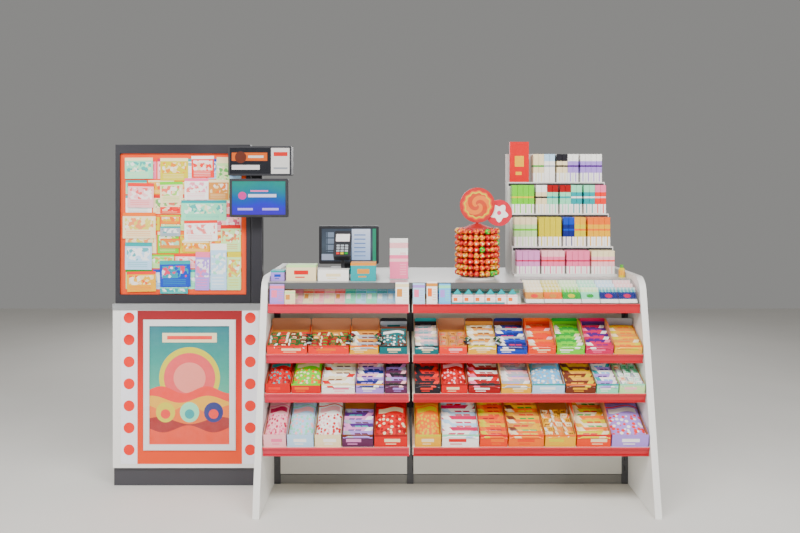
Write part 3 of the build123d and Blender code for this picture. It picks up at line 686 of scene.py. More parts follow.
# %% Carton walls
board = 1.2 * mm
liner = 0.4 * board
kraft_liner = "kraft kraft tan"
corner_cut = 7 * mm


def rim_height(carton, y):
    """Height of a low carton's sides, which the goods reach, at a distance from its front."""
    return carton.lip + 0.45 * (carton.header - carton.lip) * y / carton.depth


def put_carton(heap, carton, style, colours, back, shift):
    """Lip, sides, header and a sloping false floor."""
    place, width, depth, header, lip = carton
    shoulder = rim_height(carton, depth)
    side = [(0, 0), (depth, 0), (depth, shoulder), (0, lip)]
    if style == "high":
        side[2:3] = [(depth, header), (0.72 * depth, header)]
    for right, thick, inks in ((board, board, colours), (board + liner, liner, kraft_liner),
                               (width, board, colours), (width - board, liner, kraft_liner)):
        heap.put(plate(side, thick), place @ at(right, 0, 0, Z=90), inks)
    heap.put(sheet(width, lip, board), place, colours, shift)
    heap.put(sheet(width - 2 * board, lip, liner), place @ at(board, board, 0), kraft_liner)
    rear = [(0, 0), (width, 0), (width, header - corner_cut), (width - corner_cut, header),
            (corner_cut, header), (0, header - corner_cut)]
    heap.put(plate(rear, board), place @ at(0, depth - board, 0), back)
    slope = math.atan2(shoulder - lip, depth)
    floor = rounded_box(width - 2 * board, depth / math.cos(slope) - 2 * board, 1 * mm, 0.2 * mm)
    drop = 26 * mm if lip > 27 * mm else lip - 1 * mm
    middle = rim_height(carton, depth / 2) - drop
    heap.put(floor, place @ at(width / 2, depth / 2, middle, X=math.degrees(slope)), kraft_liner)


print("carton board:", round(board / mm, 1), "mm")

# %% [markdown]
# ## Filling the cartons
# Bars lie across the carton and lean on each other, so from the front they show as stripes. Bags
# recline in a short stack. Small packs lie in loose rows. They could be dropped in by a physics
# simulation, but rows with a little seeded disorder look as tidy as a shopkeeper leaves them.

# %% Rows of bars, stacks of bags, loose packs
bar_width, bar_height, bar_pitch, bar_lean = 31 * mm, 14 * mm, 22 * mm, 34
bag_thickness, bag_step, bag_lean = 30 * mm, 9 * mm, -71
pack_length, pack_width, pack_height, pack_pitch = 42 * mm, 27 * mm, 13 * mm, 26 * mm


def row_places(start, end, count):
    """Distances of an even count of rows from the carton's front."""
    return [start + row * (end - start) / max(count - 1, 1) for row in range(count)]


def put_bars(heap, carton, palette, dice, reach):
    """Bars across the carton, from its front to its reach."""
    rows = round((reach - bar_height) / bar_pitch)
    shape = flow_wrap(carton.width - 7 * mm, bar_width, bar_height)
    for row, y in enumerate(row_places(15 * mm, reach - 15 * mm, rows)):
        lean, yaw = bar_lean + dice.uniform(-4, 4), dice.uniform(-1.2, 1.2)
        lay = at(carton.width / 2, y, rim_height(carton, y) - 15 * mm, Z=yaw, X=lean)
        heap.put(shape, carton.place @ lay, palette[row % len(palette)],
                 turned=dice.random() < 0.4)


def put_bags(heap, carton, palette, dice, reach):
    """Three bags that lie back, the rearmost lowest and smallest."""
    for k in (2, 1, 0):
        shape = pouch(carton.width - (6 + 2 * k) * mm, reach - (24 + 4 * k) * mm, bag_thickness,
                      dice.randrange(10000))
        lean, slip = bag_lean + dice.uniform(-2, 2), dice.uniform(-1, 1) * mm
        lay = at(carton.width / 2 + slip, bag_step * (k + 1), carton.lip - (22 + 6 * k) * mm,
                 X=lean)
        heap.put(shape, carton.place @ lay, palette[k % len(palette)])


def put_packs(heap, carton, palette, dice, reach):
    """Small packs in rows and columns, each one a little out of line."""
    columns = max(2, round(carton.width / pack_length))
    rows = round((reach - 20 * mm) / pack_pitch)
    run = (carton.width - 6 * mm) / columns
    shape = flow_wrap(run - 2 * mm, pack_width, pack_height, 10)
    for y in row_places(16 * mm, reach - 16 * mm, rows):
        for column in range(columns):
            lay = at(3 * mm + (column + 0.5) * run, y,
                     rim_height(carton, y) - dice.uniform(13, 17) * mm,
                     Z=dice.uniform(-9, 9), X=dice.uniform(18, 38))
            heap.put(shape, carton.place @ lay, palette[dice.randrange(len(palette))],
                     turned=dice.random() < 0.5)


fillings = {"bars": put_bars, "bags": put_bags, "packs": put_packs}
print("kinds of filling:", *fillings)

# %% [markdown]
# ## What stands on each tray
# One line for each carton, left to right: its shape, what it holds, and three inks each for the
# carton, its header and the goods in two or three colourways. Cartons with a kraft header are
# partly sold, so the goods stop short of the header. A table is longer than random choices would
# be, but a shelf's colours are what people know it by, so they follow the photograph.

# %% The sweets, tray by tray
plain = "kraft kraft kraft"
part_sold = 0.7
assortment = {
    ("upper", "left"): [
        ("low", "packs", "coral cream red", plain, "pine white red", "red cream pine",
         "brown pine cream"),
        ("low", "packs", "coral orange red", plain, "pine brown red", "tan pine cream",
         "wine cream green"),
        ("low", "bars", "amber cream orange", plain, "grey cream brown", "tan white brown"),
        ("low", "bags", "petrol cream black", "grey petrol black", "petrol white brown",
         "brown cream teal"),
    ],
    ("upper", "right"): [
        ("high", "bars", "petrol cream black", "black grey teal", "grey white teal",
         "blush cream grey"),
        ("low", "packs", "coral blush orange", plain, "kraft tan coral", "tan kraft brown"),
        ("low", "bars", "amber cream yellow", "tan amber brown", "cream white brown",
         "tan cream grey"),
        ("low", "bars", "blue white navy", "brown kraft navy", "navy white magenta",
         "blue white navy", "grey white navy"),
        ("high", "bars", "vermilion cream vermilion", "vermilion cream orange",
         "vermilion cream coral", "orange white vermilion", "vermilion blush red"),
        ("high", "bars", "lime white lime", "lime cream green", "lime white green",
         "green cream lime"),
        ("high", "bars", "magenta pink magenta", "purple grey magenta", "magenta white purple",
         "purple pink magenta"),
        ("low", "bars", "amber yellow orange", "grey cream grey", "amber yellow orange",
         "tan cream orange"),
    ],
    ("middle", "left"): [
        ("low", "bags", "red coral red", "wine magenta red", "red teal wine", "magenta red black"),
        ("low", "bags", "red orange lime", "lime green yellow", "lime cream orange",
         "green lime yellow"),
        ("low", "bars", "white pink cream", "white blush red", "white red cream",
         "cream white brown"),
        ("low", "bars", "lilac white tan", "navy grey white", "navy white lilac",
         "lilac white navy", "blush white purple"),
        ("low", "bars", "plum lilac black", "black plum lilac", "plum blush black",
         "lilac grey plum", "black mauve plum"),
    ],
    ("middle", "right"): [
        ("low", "bars", "black coral black", "black black red", "black coral wine",
         "red black black"),
        ("low", "bags", "red cream wine", "wine black red", "red blush wine", "wine red pink"),
        ("low", "bars", "wine white black", "black wine pink", "wine pink black", "white red wine"),
        ("high", "bars", "amber cream amber", "grey white lilac", "grey white lilac",
         "blush white grey"),
        ("low", "bags", "ice white teal", "grey ice navy", "sky grey white", "ice white grey"),
        ("low", "bars", "brown amber orange", "brown amber tan", "brown yellow amber",
         "amber brown tan"),
        ("low", "bars", "mint white teal", "grey white sky", "lilac white purple",
         "white teal sky"),
        ("low", "packs", "pistachio blush mint", "grey coral pistachio", "white grey mint",
         "cream white coral", "mint white green"),
    ],
    ("bottom", "left"): [
        ("low", "bags", "blush pink blush", "grey white lilac", "blush magenta pink",
         "pink white lilac"),
        ("low", "bags", "ice white ice", "teal mint lilac", "ice blush mint", "teal ice lilac"),
        ("low", "bags", "cream white cream", "grey blush white", "white blush red",
         "cream grey white"),
        ("low", "bars", "plum mauve brown", "kraft grey brown", "lilac grey plum",
         "mauve white purple", "purple mauve teal"),
        ("low", "bags", "red cream wine", "wine red black", "red cream wine", "wine yellow red"),
    ],
    ("bottom", "right"): [
        ("low", "bags", "amber cream yellow", "tan amber brown", "orange yellow amber",
         "amber cream red"),
        ("low", "bars", "white red mint", "grey white magenta", "white ice magenta",
         "magenta white magenta", "ice white red"),
        ("low", "bars", "vermilion orange red", "wine red orange", "orange yellow red",
         "vermilion orange wine", "amber yellow vermilion"),
        ("low", "bars", "orange vermilion vermilion", "grey white orange", "orange cream yellow",
         "amber brown green", "tan amber red"),
        ("low", "packs", "amber yellow orange", plain, "cream orange tan", "amber white brown",
         "tan cream orange"),
        ("high", "bars", "vermilion cream red", "coral tan cream", "yellow cream red",
         "orange cream amber", "cream amber green"),
        ("low", "bags", "lilac white lilac", "purple lilac navy", "lilac white coral",
         "purple lilac white"),
    ],
}

for (tier, bay), lines in assortment.items():
    trays, wraps, bags = Heap(), Heap(), Heap()
    dice = random.Random(f"{tier} {bay}")
    for carton, (style, kind, colours, back, *palette) in zip(cartons(tier, bay), lines):
        put_carton(trays, carton, style, colours, back, dice.uniform(-0.16, 0.16))
        reach = part_sold * carton.depth if back.startswith("kraft") else carton.depth
        fillings[kind](bags if kind == "bags" else wraps, carton, palette, dice, reach)
    trays.piece(f"display_cartons_{tier}_{bay}", carton_print, slot="carton_board",
                replaces=f"cartons_{tier}_{bay}")
    wraps.piece(f"wrapped_bars_{tier}_{bay}", film, smooth=True)
    if bags.points:
        bags.piece(f"bags_{tier}_{bay}", pouch_film, smooth=True)

# %% [markdown]
# ## Loose sweets
# Customers put a sweet back where it doesn't belong, so a few small packs lie on top of the goods,
# over the walls between the cartons of the upper tray. They get a heap of their own, because they
# belong to no carton.

# %% Loose packs on the upper tray
loose = Heap()
dice = random.Random(5)
small_pack = flow_wrap(34 * mm, 21 * mm, 11 * mm, 10)
loose_inks = ("black grey pine", "pine black white", "black pine red")
for beside, packs in ((cartons("upper", "left")[:3], 3), (cartons("upper", "right")[1:3], 2)):
    for carton in beside:
        for n in range(packs):
            y = (16 + 26 * n) * mm
            lay = at(carton.width + dice.uniform(-5, 9) * mm, y, rim_height(carton, y),
                     Z=math.degrees(dice.uniform(0.6, 2.4)), X=math.degrees(0.25))
            loose.put(small_pack, carton.place @ lay, loose_inks[n])
loose.piece("loose_packs", film, smooth=True)

# %% [markdown]
# ## Tickets and cards behind and before the glass
# The case under the worktop shows rows of tickets on sloping stands of grey board, and the fibres
# of uncoated board make soft streaks. Taller cards lean against the worktop's edge from the ledge
# in front of the glass. Three sheets for each ticket are enough to read as a fanned stack.

# %% Leaning cards
def lean_card(heap, x, y, z, width, height, lean, colours, thick=1 * mm):
    """A card whose lower front edge starts at (x, y, z) and whose top leans back."""
    heap.put(sheet(width, height, thick), at(x, y, z, X=-lean), colours)


ticket_inks = [
    ["blush coral cream", "cream coral blush", "blush pink cream", "cream coral tan",
     "blush coral cream", "cream pink blush", "blush coral tan", "mint teal white",
     "ice teal mint", "mint sky white", "ice teal white", "ice sky white", "white sky ice"],
    ["ice lilac pink", "cream white tan", "ice sky lilac", "white teal mint", "white teal mint",
     "white teal orange", "white teal mint", "white teal mint", "white teal orange",
     "white mint teal"],
]
ticket_height, fan_step, sheet_gap = 84 * mm, 9 * mm, 1.3 * mm
tickets = Heap()
for (points, _), row in zip(solids("ticket_stands"), ticket_inks):
    low, high = extent(points)
    run = (high.x - low.x - 4 * mm) / len(row)
    slope = math.degrees(math.atan2(high.y - low.y - 12 * mm, high.z - low.z))
    for n, colours in enumerate(row):
        for layer in range(3):
            lean_card(tickets, low.x + 3 * mm + n * run, low.y - 1.4 * mm - sheet_gap * layer,
                      low.z + 0.5 * mm, run - 2 * mm, ticket_height - fan_step * layer, slope,
                      colours)
tickets.piece("ticket_fans", card_print, slot="printed_card")

fibres = (4, 3, (1, 0.4, 1))
grey_board = even_finish("uncoated_display_board", "d9d6cc", "c8c4b8", fibres, 1.0, fibres,
                         (0.1, 0.4), 0.7, IOR=1.47)
dress(grey_board, "ticket_stands")

ledge_cards = [
    (-452, 62, 88, "lilac pink pink"), (-388, 46, 60, "cream pistachio tan"),
    (96, 58, 96, "white cream tan"), (172, 52, 92, "ice lilac pink"),
    (232, 46, 100, "white tan orange"), (286, 50, 90, "sky mint lilac"),
]
ledge = Heap()
deck_low, deck_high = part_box("display_deck")
ledge_y, ledge_z = deck_low.y + 4 * mm, deck_high.z
card_lean = 3
for x, width, height, colours in ledge_cards:
    lean_card(ledge, x * mm, ledge_y, ledge_z, width * mm, height * mm, card_lean, colours,
              1.5 * mm)
peak = plate([(0, 0), (38 * mm, 0), (19 * mm, 24 * mm)], 0.6 * mm)
for x in range(344, 600, 48):
    ledge.put(sheet(44 * mm, 42 * mm, 1.2 * mm), at(x * mm, ledge_y, ledge_z),
              "white blush orange")
    ledge.put(peak, at((x + 3) * mm, ledge_y - 0.8 * mm, ledge_z + 44 * mm), "teal teal teal")
ledge.put(sheet(232 * mm, 9 * mm, 1 * mm), at(340 * mm, ledge_y - 1.6 * mm, ledge_z),
          "teal teal teal")
ledge.piece("ledge_cards", card_print, slot="printed_card")

# %% [markdown]
# ## Card case
# The case at the right end holds coated cards that are pale at the top and stronger lower down,
# from tan through green to navy. A card's inks depend on its place along the case, so the case
# keeps its run of colours if the construction model gets more cards or fewer.

# %% Cards in the case
def case_design(tree, x, y, z, a, b, c):
    """A strong lower part with a spot and a white foot, and a pale upper part with thin lines."""
    upper = inside(tree, z, low=0.7)
    return layers(tree, a, (oval(tree, x, z, (0.5, 0.46), (0.2, 0.12)), c), (upper, b),
                  (both(tree, stripes(tree, x, 5.0, 0.62), upper, 0.4), "white"),
                  (both(tree, inside(tree, z, low=0.86), 0.3), "white"),
                  (inside(tree, z, high=0.26), "white"))


back_row = [
    "tan cream cream", "amber yellow yellow", "yellow pistachio mint", "mint mint white",
    "ice ice mint", "blush blush pink",
]
front_row = [
    "tan cream coral", "orange yellow tan", "green lime yellow", "mint pistachio green",
    "navy teal magenta", "navy teal magenta",
]
case_print = printed("coated_case_card", case_design, (0.9, 1), card_tooth, Roughness=0.45,
                     IOR=1.48)
case_low, case_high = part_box("case_cards")
case_inks = []
for points, _ in solids("case_cards"):
    low, high = extent(points)
    along = ((low.x + high.x) / 2 - case_low.x) / (case_high.x - case_low.x)
    row = front_row if low.y < case_low.y + 20 * mm else back_row
    case_inks.append(row[min(int(along * len(row)), len(row) - 1)])
reprint("case_cards", case_inks, case_print, "printed_card")

# %% [markdown]
# ## Notice board
# The board is covered with pastel notes on uncoated paper, which overlap as they do when new ones
# are pinned over old ones. Each note lies 0.22 mm in front of the one before, about as far as paper
# stands off, so no two sheets share a plane and flicker.

# %% Notes on the board
def note_design(tree, x, y, z, a, b, c):
    """A heading bar, a picture of patches about 14 mm across and lines of small bars under it."""
    patches = add(tree, "TexVoronoi", add(tree, "TexCoord").outputs["Object"], Scale=1 / (14 * mm))
    which = add(tree, "SeparateColor", patches.outputs["Color"])
    picture = layers(tree, a, (inside(tree, which, low=0.36), b),
                     (inside(tree, which, low=0.62), c), (inside(tree, which, low=0.84), "white"))
    lines = both(tree, stripes(tree, z, 14.0, 0.55), block(tree, x, z, 0.1, 0.84, 0.06, 0.3), 0.5)
    return layers(tree, a, (inside(tree, z, low=0.86), b),
                  (both(tree, block(tree, x, z, 0.07, 0.93, 0.34, 0.8), 0.8), picture), (lines, b))


notes = [
    "pistachio green cream", "blush coral white", "cream orange yellow", "yellow orange coral",
    "white teal pink", "mint teal white", "pink coral cream", "pistachio lime orange",
    "amber cream coral", "ice blue white", "cream red green", "lime cream green",
    "blush magenta cream",
]
note_print = printed("uncoated_printed_paper", note_design, (0.9, 1), card_tooth, Roughness=0.6,
                     IOR=1.47)
reprint("board_cards", notes, note_print, "printed_card")

# x, z, width and height in mm, and the inks
pinned_list = [
    (-980, 1392, 127, 103, "yellow cream orange"), (-837, 1404, 103, 100, "coral white cream"),
    (-726, 1300, 60, 200, "pistachio cream green"), (-869, 1305, 111, 98, "white pink coral"),
    (-760, 1305, 92, 92, "tan cream orange"), (-980, 1290, 104, 96, "cream lime coral"),
    (-884, 1210, 206, 92, "mint teal cream"), (-980, 1242, 92, 34, "coral cream red"),
    (-980, 1194, 92, 40, "orange yellow cream"), (-980, 1138, 92, 44, "grey teal white"),
    (-980, 1083, 92, 44, "tan orange mint"), (-869, 1114, 151, 95, "white coral blush"),
    (-877, 1066, 119, 48, "amber cream orange"), (-702, 1067, 90, 122, "pistachio red orange"),
    (-821, 892, 66, 175, "lilac pink white"), (-750, 892, 74, 212, "ice white mint"),
    (-674, 892, 62, 175, "pistachio yellow orange"), (-980, 905, 140, 120, "blue teal coral"),
    (-980, 876, 127, 28, "teal mint white"), (-1140, 1400, 128, 96, "mint cream teal"),
    (-1128, 1270, 118, 112, "blush coral white"), (-1150, 1128, 150, 118, "cream orange yellow"),
    (-1140, 986, 122, 124, "ice teal white"), (-1130, 884, 132, 92, "amber coral cream"),
]
note_gap = 0.22 * mm
pinned = Heap()
board_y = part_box("board_cards")[0].y
for n, (x, z, width, height, colours) in enumerate(pinned_list):
    askew = (-1) ** n * (n % 3) * 0.5
    lay = at(x * mm, board_y - 0.8 * mm - note_gap * n, z * mm, Y=askew)
    pinned.put(sheet(width * mm, height * mm, 0.2 * mm), lay, colours)
pinned.piece("pinned_notes", note_print, slot="printed_card")

# %% [markdown]
# ## Slim boxes in the rack
# The rack's steps hold slim varnished boxes, two deep and in runs of one colour. The construction
# model has one block for every four columns, and each block is divided here, because the gaps
# between the boxes are what makes them read as boxes.

# %% Slim boxes
def slim_design(tree, x, y, z, a, b, c):
    """A white foot with an upright line, a coloured upper part with a line and an inked cap."""
    return layers(tree, a, (inside(tree, z, high=0.36), "white"), (inside(tree, z, 0.56, 0.62), b),
                  (inside(tree, z, low=0.76), c), (block(tree, x, z, 0.4, 0.6, 0.06, 0.36), a))


# for each step, how many columns of boxes have the inks
rack_inks = [
    [(4, "mauve magenta mauve"), (4, "pink red blush"), (4, "pink magenta pink"),
     (4, "blush coral cream")],
    [(4, "pistachio lime cream"), (4, "yellow yellow yellow"), (2, "navy blue blue"),
     (2, "yellow orange amber"), (4, "amber orange orange")],
    [(4, "lime yellow lime"), (2, "cream black white"), (4, "mint teal wine"),
     (4, "teal white mint"), (2, "coral blush pink")],
    [(2, "cream green cream"), (2, "white grey ice"), (2, "cream black black"),
     (6, "lilac purple white")],
]
slim_print = printed("printed_slim_box", slim_design, (1.5, 1), card_tooth, Roughness=0.32, IOR=1.5,
                     Coat_Weight=0.2)
box_columns, box_rows, box_gap = 4, 2, 1 * mm
slim = Heap()
blocks = [extent(points) for points, _ in solids("rack_boxes")]
treads = sorted({round(low.z, 3) for low, high in blocks})
for tread, inks in zip(treads, rack_inks):
    colours = iter([names for count, names in inks for _ in range(count)])
    on_tread = [corners for corners in blocks if abs(corners[0].z - tread) < 1 * mm]
    for low, high in sorted(on_tread, key=lambda corners: corners[0].x):
        run, deep = (high.x - low.x) / box_columns, (high.y - low.y) / box_rows
        shape = rounded_box(run - box_gap, deep - box_gap, high.z - low.z)
        for column in range(box_columns):
            names = next(colours)
            for row in range(box_rows):
                slim.put(shape, at(low.x + (column + 0.5) * run, low.y + (row + 0.5) * deep, low.z),
                         names)
slim.piece("slim_boxes", slim_print, slot="carton_board", replaces="rack_boxes")

# %% [markdown]
# ## Rack sheet
# The rack is thin white coated sheet, open under each tread, and the shade in the opening reads as
# a dark line above the boxes. The construction model has closed risers there, so that shade is
# painted
# into the finish: a dark band of painted shade on the faces towards the customer, 14 mm high under
# every tread but the lowest.

# %% Rack sheet and banner
opening, side_fold = 14 * mm, 4 * mm


def rack_sheet():
    material, tree, shader = start("powder_coated_rack_sheet", Roughness=0.45, IOR=1.5)
    x, y, z = position(tree)
    normal = add(tree, "SeparateXYZ", add(tree, "NewGeometry").outputs["Normal"]).outputs
    in_front = inside(tree, normal["Y"], high=-0.5)
    low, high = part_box("rack_frame")
    tone = layers(tree, "dedcd8", (mottle(tree, 90, 3), "cfccc6"))
    # painted shade: a near-black band on the customer's faces under each upper tread, where the
    # open gap lies in shade
    for tread in treads[1:]:
        under = block(tree, x, z, low.x + side_fold, high.x - side_fold, tread - opening, tread)
        tone = layers(tree, tone, (both(tree, in_front, under), "1c1a1c"))
    coat(tree, shader, tone, mottle(tree, 0.8, 1), 0.03, 0.4)
    return material


dress(rack_sheet(), "rack_frame")
reprint("rack_banner", ["red amber red"], carton_print, "printed_card")

# %% [markdown]
# ## Lollipop stand
# Wrapped lollipops plug into the drum's rings by their sticks, so the drum reads as columns of
# bright balls. A ball and a stick are made once and put down 176 times. Each ball is turned by
# chance about its stick, because no two wrappers are twisted alike.

# %% Lollipops on the drum
def candy_design(tree, x, y, z, a, b, c):
    """A swirl of the second ink round the ball and a spot of the third on its nose."""
    up = add(tree, "Math", z, 0.5, operation="SUBTRACT")
    across = add(tree, "Math", y, 0.5, operation="SUBTRACT")
    turn = add(tree, "Math", up, across, operation="ARCTAN2")
    swirl = wave(tree, turn, 3.0, 1.0, phase=both(tree, x, 5.0))
    return layers(tree, a, (inside(tree, swirl, low=0.45), b),
                  (oval(tree, y, z, (0.5, 0.5), (0.16, 0.16)), c))


candy_inks = [
    "red orange amber", "wine red yellow", "orange red cream", "red amber cream",
    "amber red orange", "red wine cream", "vermilion yellow red", "wine orange red",
    "amber wine cream", "red wine orange", "green lime red", "orange wine red",
]
ball_radius, stick_radius, stick_length = 13.1 * mm, 1.9 * mm, 24 * mm
form = bmesh.new()
bmesh.ops.create_uvsphere(form, u_segments=10, v_segments=7, radius=ball_radius,
                          matrix=at(0, 0, 0, Z=90))
ball = shape_of(form)
stick = skin(*[[(x, stick_radius * a, stick_radius * b) for a, b in circle(6)]
               for x in (0, stick_length)])

drum_low, drum_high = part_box("lollipop_drum")
axis = (drum_low + drum_high) / 2
drum_radius = (drum_high.x - drum_low.x) / 2
drum_rings, drum_columns, ring_pitch = 8, 22, 27 * mm
candies, sticks = Heap(), Heap()
dice = random.Random(11)
for ring in range(drum_rings):
    for column in range(drum_columns):
        hole = at(axis.x, axis.y, drum_low.z + (ring + 0.5) * ring_pitch,
                  Z=360 * column / drum_columns)
        colours = candy_inks[dice.randrange(len(candy_inks))]
        wobble = math.degrees(dice.uniform(0, 6.28))
        candies.put(ball, hole @ at(drum_radius + 13 * mm, 0, 0, X=wobble), colours)
        sticks.put(stick, hole @ at(drum_radius - 18 * mm, 0, 0), "white white cream")

candy_film = printed("twisted_sweet_wrapper", candy_design, (4, 2), (0.4, 0.6), Roughness=0.25,
                     IOR=1.5, Coat_Weight=0.2, Coat_Roughness=0.1)
white_moulding = even_finish("moulded_white_polystyrene", "e8e4dc", "cfc8bb", (60, 3), 0.3,
                             (2.5, 2), (0.03, 0.4), 0.35, IOR=1.59)
red_moulding = even_finish("moulded_red_polystyrene", "b00810", "780410", (40, 3), 0.4,
                           (2.5, 2), (0.03, 0.4), 0.5, IOR=1.59, Specular_IOR_Level=0.3)
candies.piece("lollipops", candy_film, "lollipop_tower", smooth=True)
sticks.piece("lollipop_sticks", white_moulding, "lollipop_tower", smooth=True)
dress(white_moulding, "lollipop_base")
dress(red_moulding, "lollipop_drum")

# %% [markdown]
# ## Lollipop sign
# The sign above the drum is two acrylic discs, painted with a swirl and a flower. Painted curves
# like these follow distance and turn round a centre, so each disc is drawn in its own rings and
# angles. The first disc stands in front, and the stem below it is plain red.

# %% The sign's swirl
def polar(tree, centre_x, centre_z):
    """Distance from a centre and turn round it, in the plane that faces the customer."""
    x, y, z = position(tree)
    across = add(tree, "Math", x, centre_x, operation="SUBTRACT")
    up = add(tree, "Math", z, centre_z, operation="SUBTRACT")
    offset = add(tree, "CombineXYZ", across, 0.0, up)
    return (add(tree, "VectorMath", offset, operation="LENGTH"),
            add(tree, "Math", up, across, operation="ARCTAN2"))


disc_radius, rear_disc_x, rear_disc_z, disc_thick = 80 * mm, 100 * mm, -36 * mm, 7.6 * mm


def painted_sign():
    material, tree, shader = start("painted_acrylic_sign", Roughness=0.3, IOR=1.49,
                                   Specular_IOR_Level=0.3)
    low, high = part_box("lollipop_sign")
    first_z = high.z - disc_radius
    radius, turn = polar(tree, axis.x, first_z)
    spiral = wave(tree, radius, 150.0, 0.5, 0.5, both(tree, turn, 2.0))
    front = add(tree, "ValToRGB", spiral, stops=((0.4, "c83c00"), (0.6, "e87400")))
    scalloped = wave(tree, turn, 12.0, 2.5 * mm, radius)
    for reach_mm, code in ((54, "ccb400"), (61, "dc5000"), (67, "bc0c08")):
        front = layers(tree, front, (inside(tree, scalloped, low=reach_mm * mm), code))
    rear_radius, rear_turn = polar(tree, axis.x + rear_disc_x, first_z + rear_disc_z)
    petals = wave(tree, rear_turn, 5.0, 7 * mm, rear_radius)
    rear = layers(tree, "white", (inside(tree, petals, low=36 * mm), "c80828"),
                  (inside(tree, rear_radius, high=10 * mm), "e0205c"))
    stem = both(tree, inside(tree, radius, disc_radius + 1 * mm, 200 * mm),
                inside(tree, rear_radius, low=61 * mm))
    behind = inside(tree, position(tree)["Y"], low=low.y + disc_thick)
    tone = layers(tree, front, (behind, rear), (stem, "red"),
                  (both(tree, mottle(tree, 20, 3), 0.1), "grey"))
    coat(tree, shader, tone, mottle(tree, 12), 0.05, 0.3)
    return material


dress(painted_sign(), "lollipop_sign")

# %% [markdown]
# ## Screens and sign box
# The cases are black ABS with a fine spark texture. Each picture sits behind a clear pane inside a
# raised bezel. A screen's light could be a lamp behind the pane, but a picture that shines a little
# by itself costs less and stays sharp. The pictures are soft bands of light with plain bars.

# %% Black plastic and lit pictures
black_abs = even_finish("spark_textured_black_abs", "1b1b1f", "303036", (50, 3), 1.0, (0.7, 1),
                        (0.04, 0.6), 0.42, IOR=1.54)
dress(black_abs, "screen", "sign_box", "till_stand", "till_screen", "card_terminal")


def fractions(tree, node):
    """How far across and up a construction piece a place lies, from 0 to 1."""
    low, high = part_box(node)
    x, y, z = position(tree)
    return [add(tree, "MapRange", value, *ends, clamp=False)
            for value, ends in ((x, (low.x, high.x)), (z, (low.z, high.z)))]


def offer_design(tree, u, v):
    tone = add(tree, "ValToRGB", wave(tree, u, 8.0, 0.05, v),
               stops=((0.1, "3a08c0"), (0.3, "2418d0"), (0.46, "0050b0"), (0.7, "007c8c"),
                      (1.0, "00907c")))
    return layers(tree, tone, (oval(tree, u, v, (0.22, 0.56), (0.07, 0.1)), "e0389a"),
                  (block(tree, u, v, 0.32, 0.8, 0.52, 0.6), "e8e4ff"),
                  (block(tree, u, v, 0.36, 0.66, 0.66, 0.7), "ff7ac0"),
                  (block(tree, u, v, 0.14, 0.4, 0.18, 0.24), "b8a4ff"),
                  (block(tree, u, v, 0.56, 0.84, 0.18, 0.24), "b8a4ff"))


def sign_design(tree, u, v):
    return layers(tree, "white", (inside(tree, u, 0.0, 0.68), "15161c"),
                  (block(tree, u, v, 0.06, 0.62, 0.5, 0.78), "orange"),
                  (oval(tree, u, v, (0.2, 0.62), (0.09, 0.2)), "brown"),
                  (block(tree, u, v, 0.32, 0.56, 0.6, 0.68), "white"),
                  (block(tree, u, v, 0.06, 0.5, 0.2, 0.36), "white"),
                  (block(tree, u, v, 0.72, 0.94, 0.66, 0.8), "coral"),
                  (block(tree, u, v, 0.72, 0.94, 0.22, 0.28), "grey"))


def till_design(tree, u, v):
    tone = add(tree, "ValToRGB", v, stops=((0.0, "2c3440"), (0.5, "4a5664"), (1.0, "39424e")))
    keys = both(tree, stripes(tree, u, 8.0, 0.16), stripes(tree, v, 6.0, 0.2),
                block(tree, u, v, 0.12, 0.5, 0.32, 0.84))
    panel = add(tree, "ValToRGB", v, stops=((0.0, "9fc0f0"), (1.0, "dfe9fb")))
    lines = both(tree, stripes(tree, v, 9.0, 0.72), block(tree, u, v, 0.59, 0.78, 0.2, 0.84))
    return layers(tree, tone, (keys, "7f8ea4"), (block(tree, u, v, 0.0, 0.5, 0.1, 0.26), "a9b4cc"),
                  (block(tree, u, v, 0.55, 0.86, 0.1, 0.92), panel), (lines, "6c8cc4"),
                  (inside(tree, u, 0.9, 1.0), "1c8f6a"))

# %% [markdown]
# ## Bezels and panes
# A bezel is four moulded bars round the pane, each with a small bevel that catches the light. It
# could be one ring, but four bars need no joint worked out, and their seams hardly show in black.
# The customer's screen carries its own bezel and pane along when it tilts.

# %% Bezels and panes
def framed_picture(node, name, design, glow, border_mm, body="counter"):
    """A raised bezel round a piece's front and the picture pane inside it."""
    material, tree, shader = start(name, Roughness=0.18, IOR=1.5, Coat_Weight=0.1,
                                   Coat_Roughness=0.05, Emission_Strength=glow)
    dust = both(tree, mottle(tree, 18, 3), 0.04)
    tone = layers(tree, design(tree, *fractions(tree, node)), (dust, "grey"))
    plug(tree, layers(tree, tone, (0.6, "101014")), shader.inputs["Base Color"])
    plug(tree, tone, shader.inputs["Emission Color"])

    low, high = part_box(node)
    border, proud, inset, thin = border_mm * mm, 2.4 * mm, 3 * mm, 0.8 * mm
    x0, x1, z0, z1 = low.x + inset, high.x - inset, low.z + inset, high.z - inset
    rims = Heap()
    for a, b, c, d in ((x0, x1, z1 - border, z1), (x0, x1, z0, z0 + border),
                       (x0, x0 + border, z0 + border, z1 - border),
                       (x1 - border, x1, z0 + border, z1 - border)):
        rims.put(rounded_box(b - a, proud, d - c, 0.5 * mm), at((a + b) / 2, low.y - proud / 2, c),
                 "black black grey")
    rims.piece(node + "_bezel", black_abs, body, "black_plastic")
    pane = Heap()
    pane.put(rounded_box(x1 - x0 - 2 * border, thin, z1 - z0 - 2 * border, 0.2 * mm),
             at((x0 + x1) / 2, low.y - thin / 2, z0 + border), "sky white blue")
    pane.piece(node + "_picture", material, body)


framed_picture("screen", "customer_screen_picture", offer_design, 0.62, 9, "customer_screen")
framed_picture("sign_box", "sign_box_picture", sign_design, 0.5, 5)
framed_picture("till_screen", "till_picture", till_design, 0.8, 10)

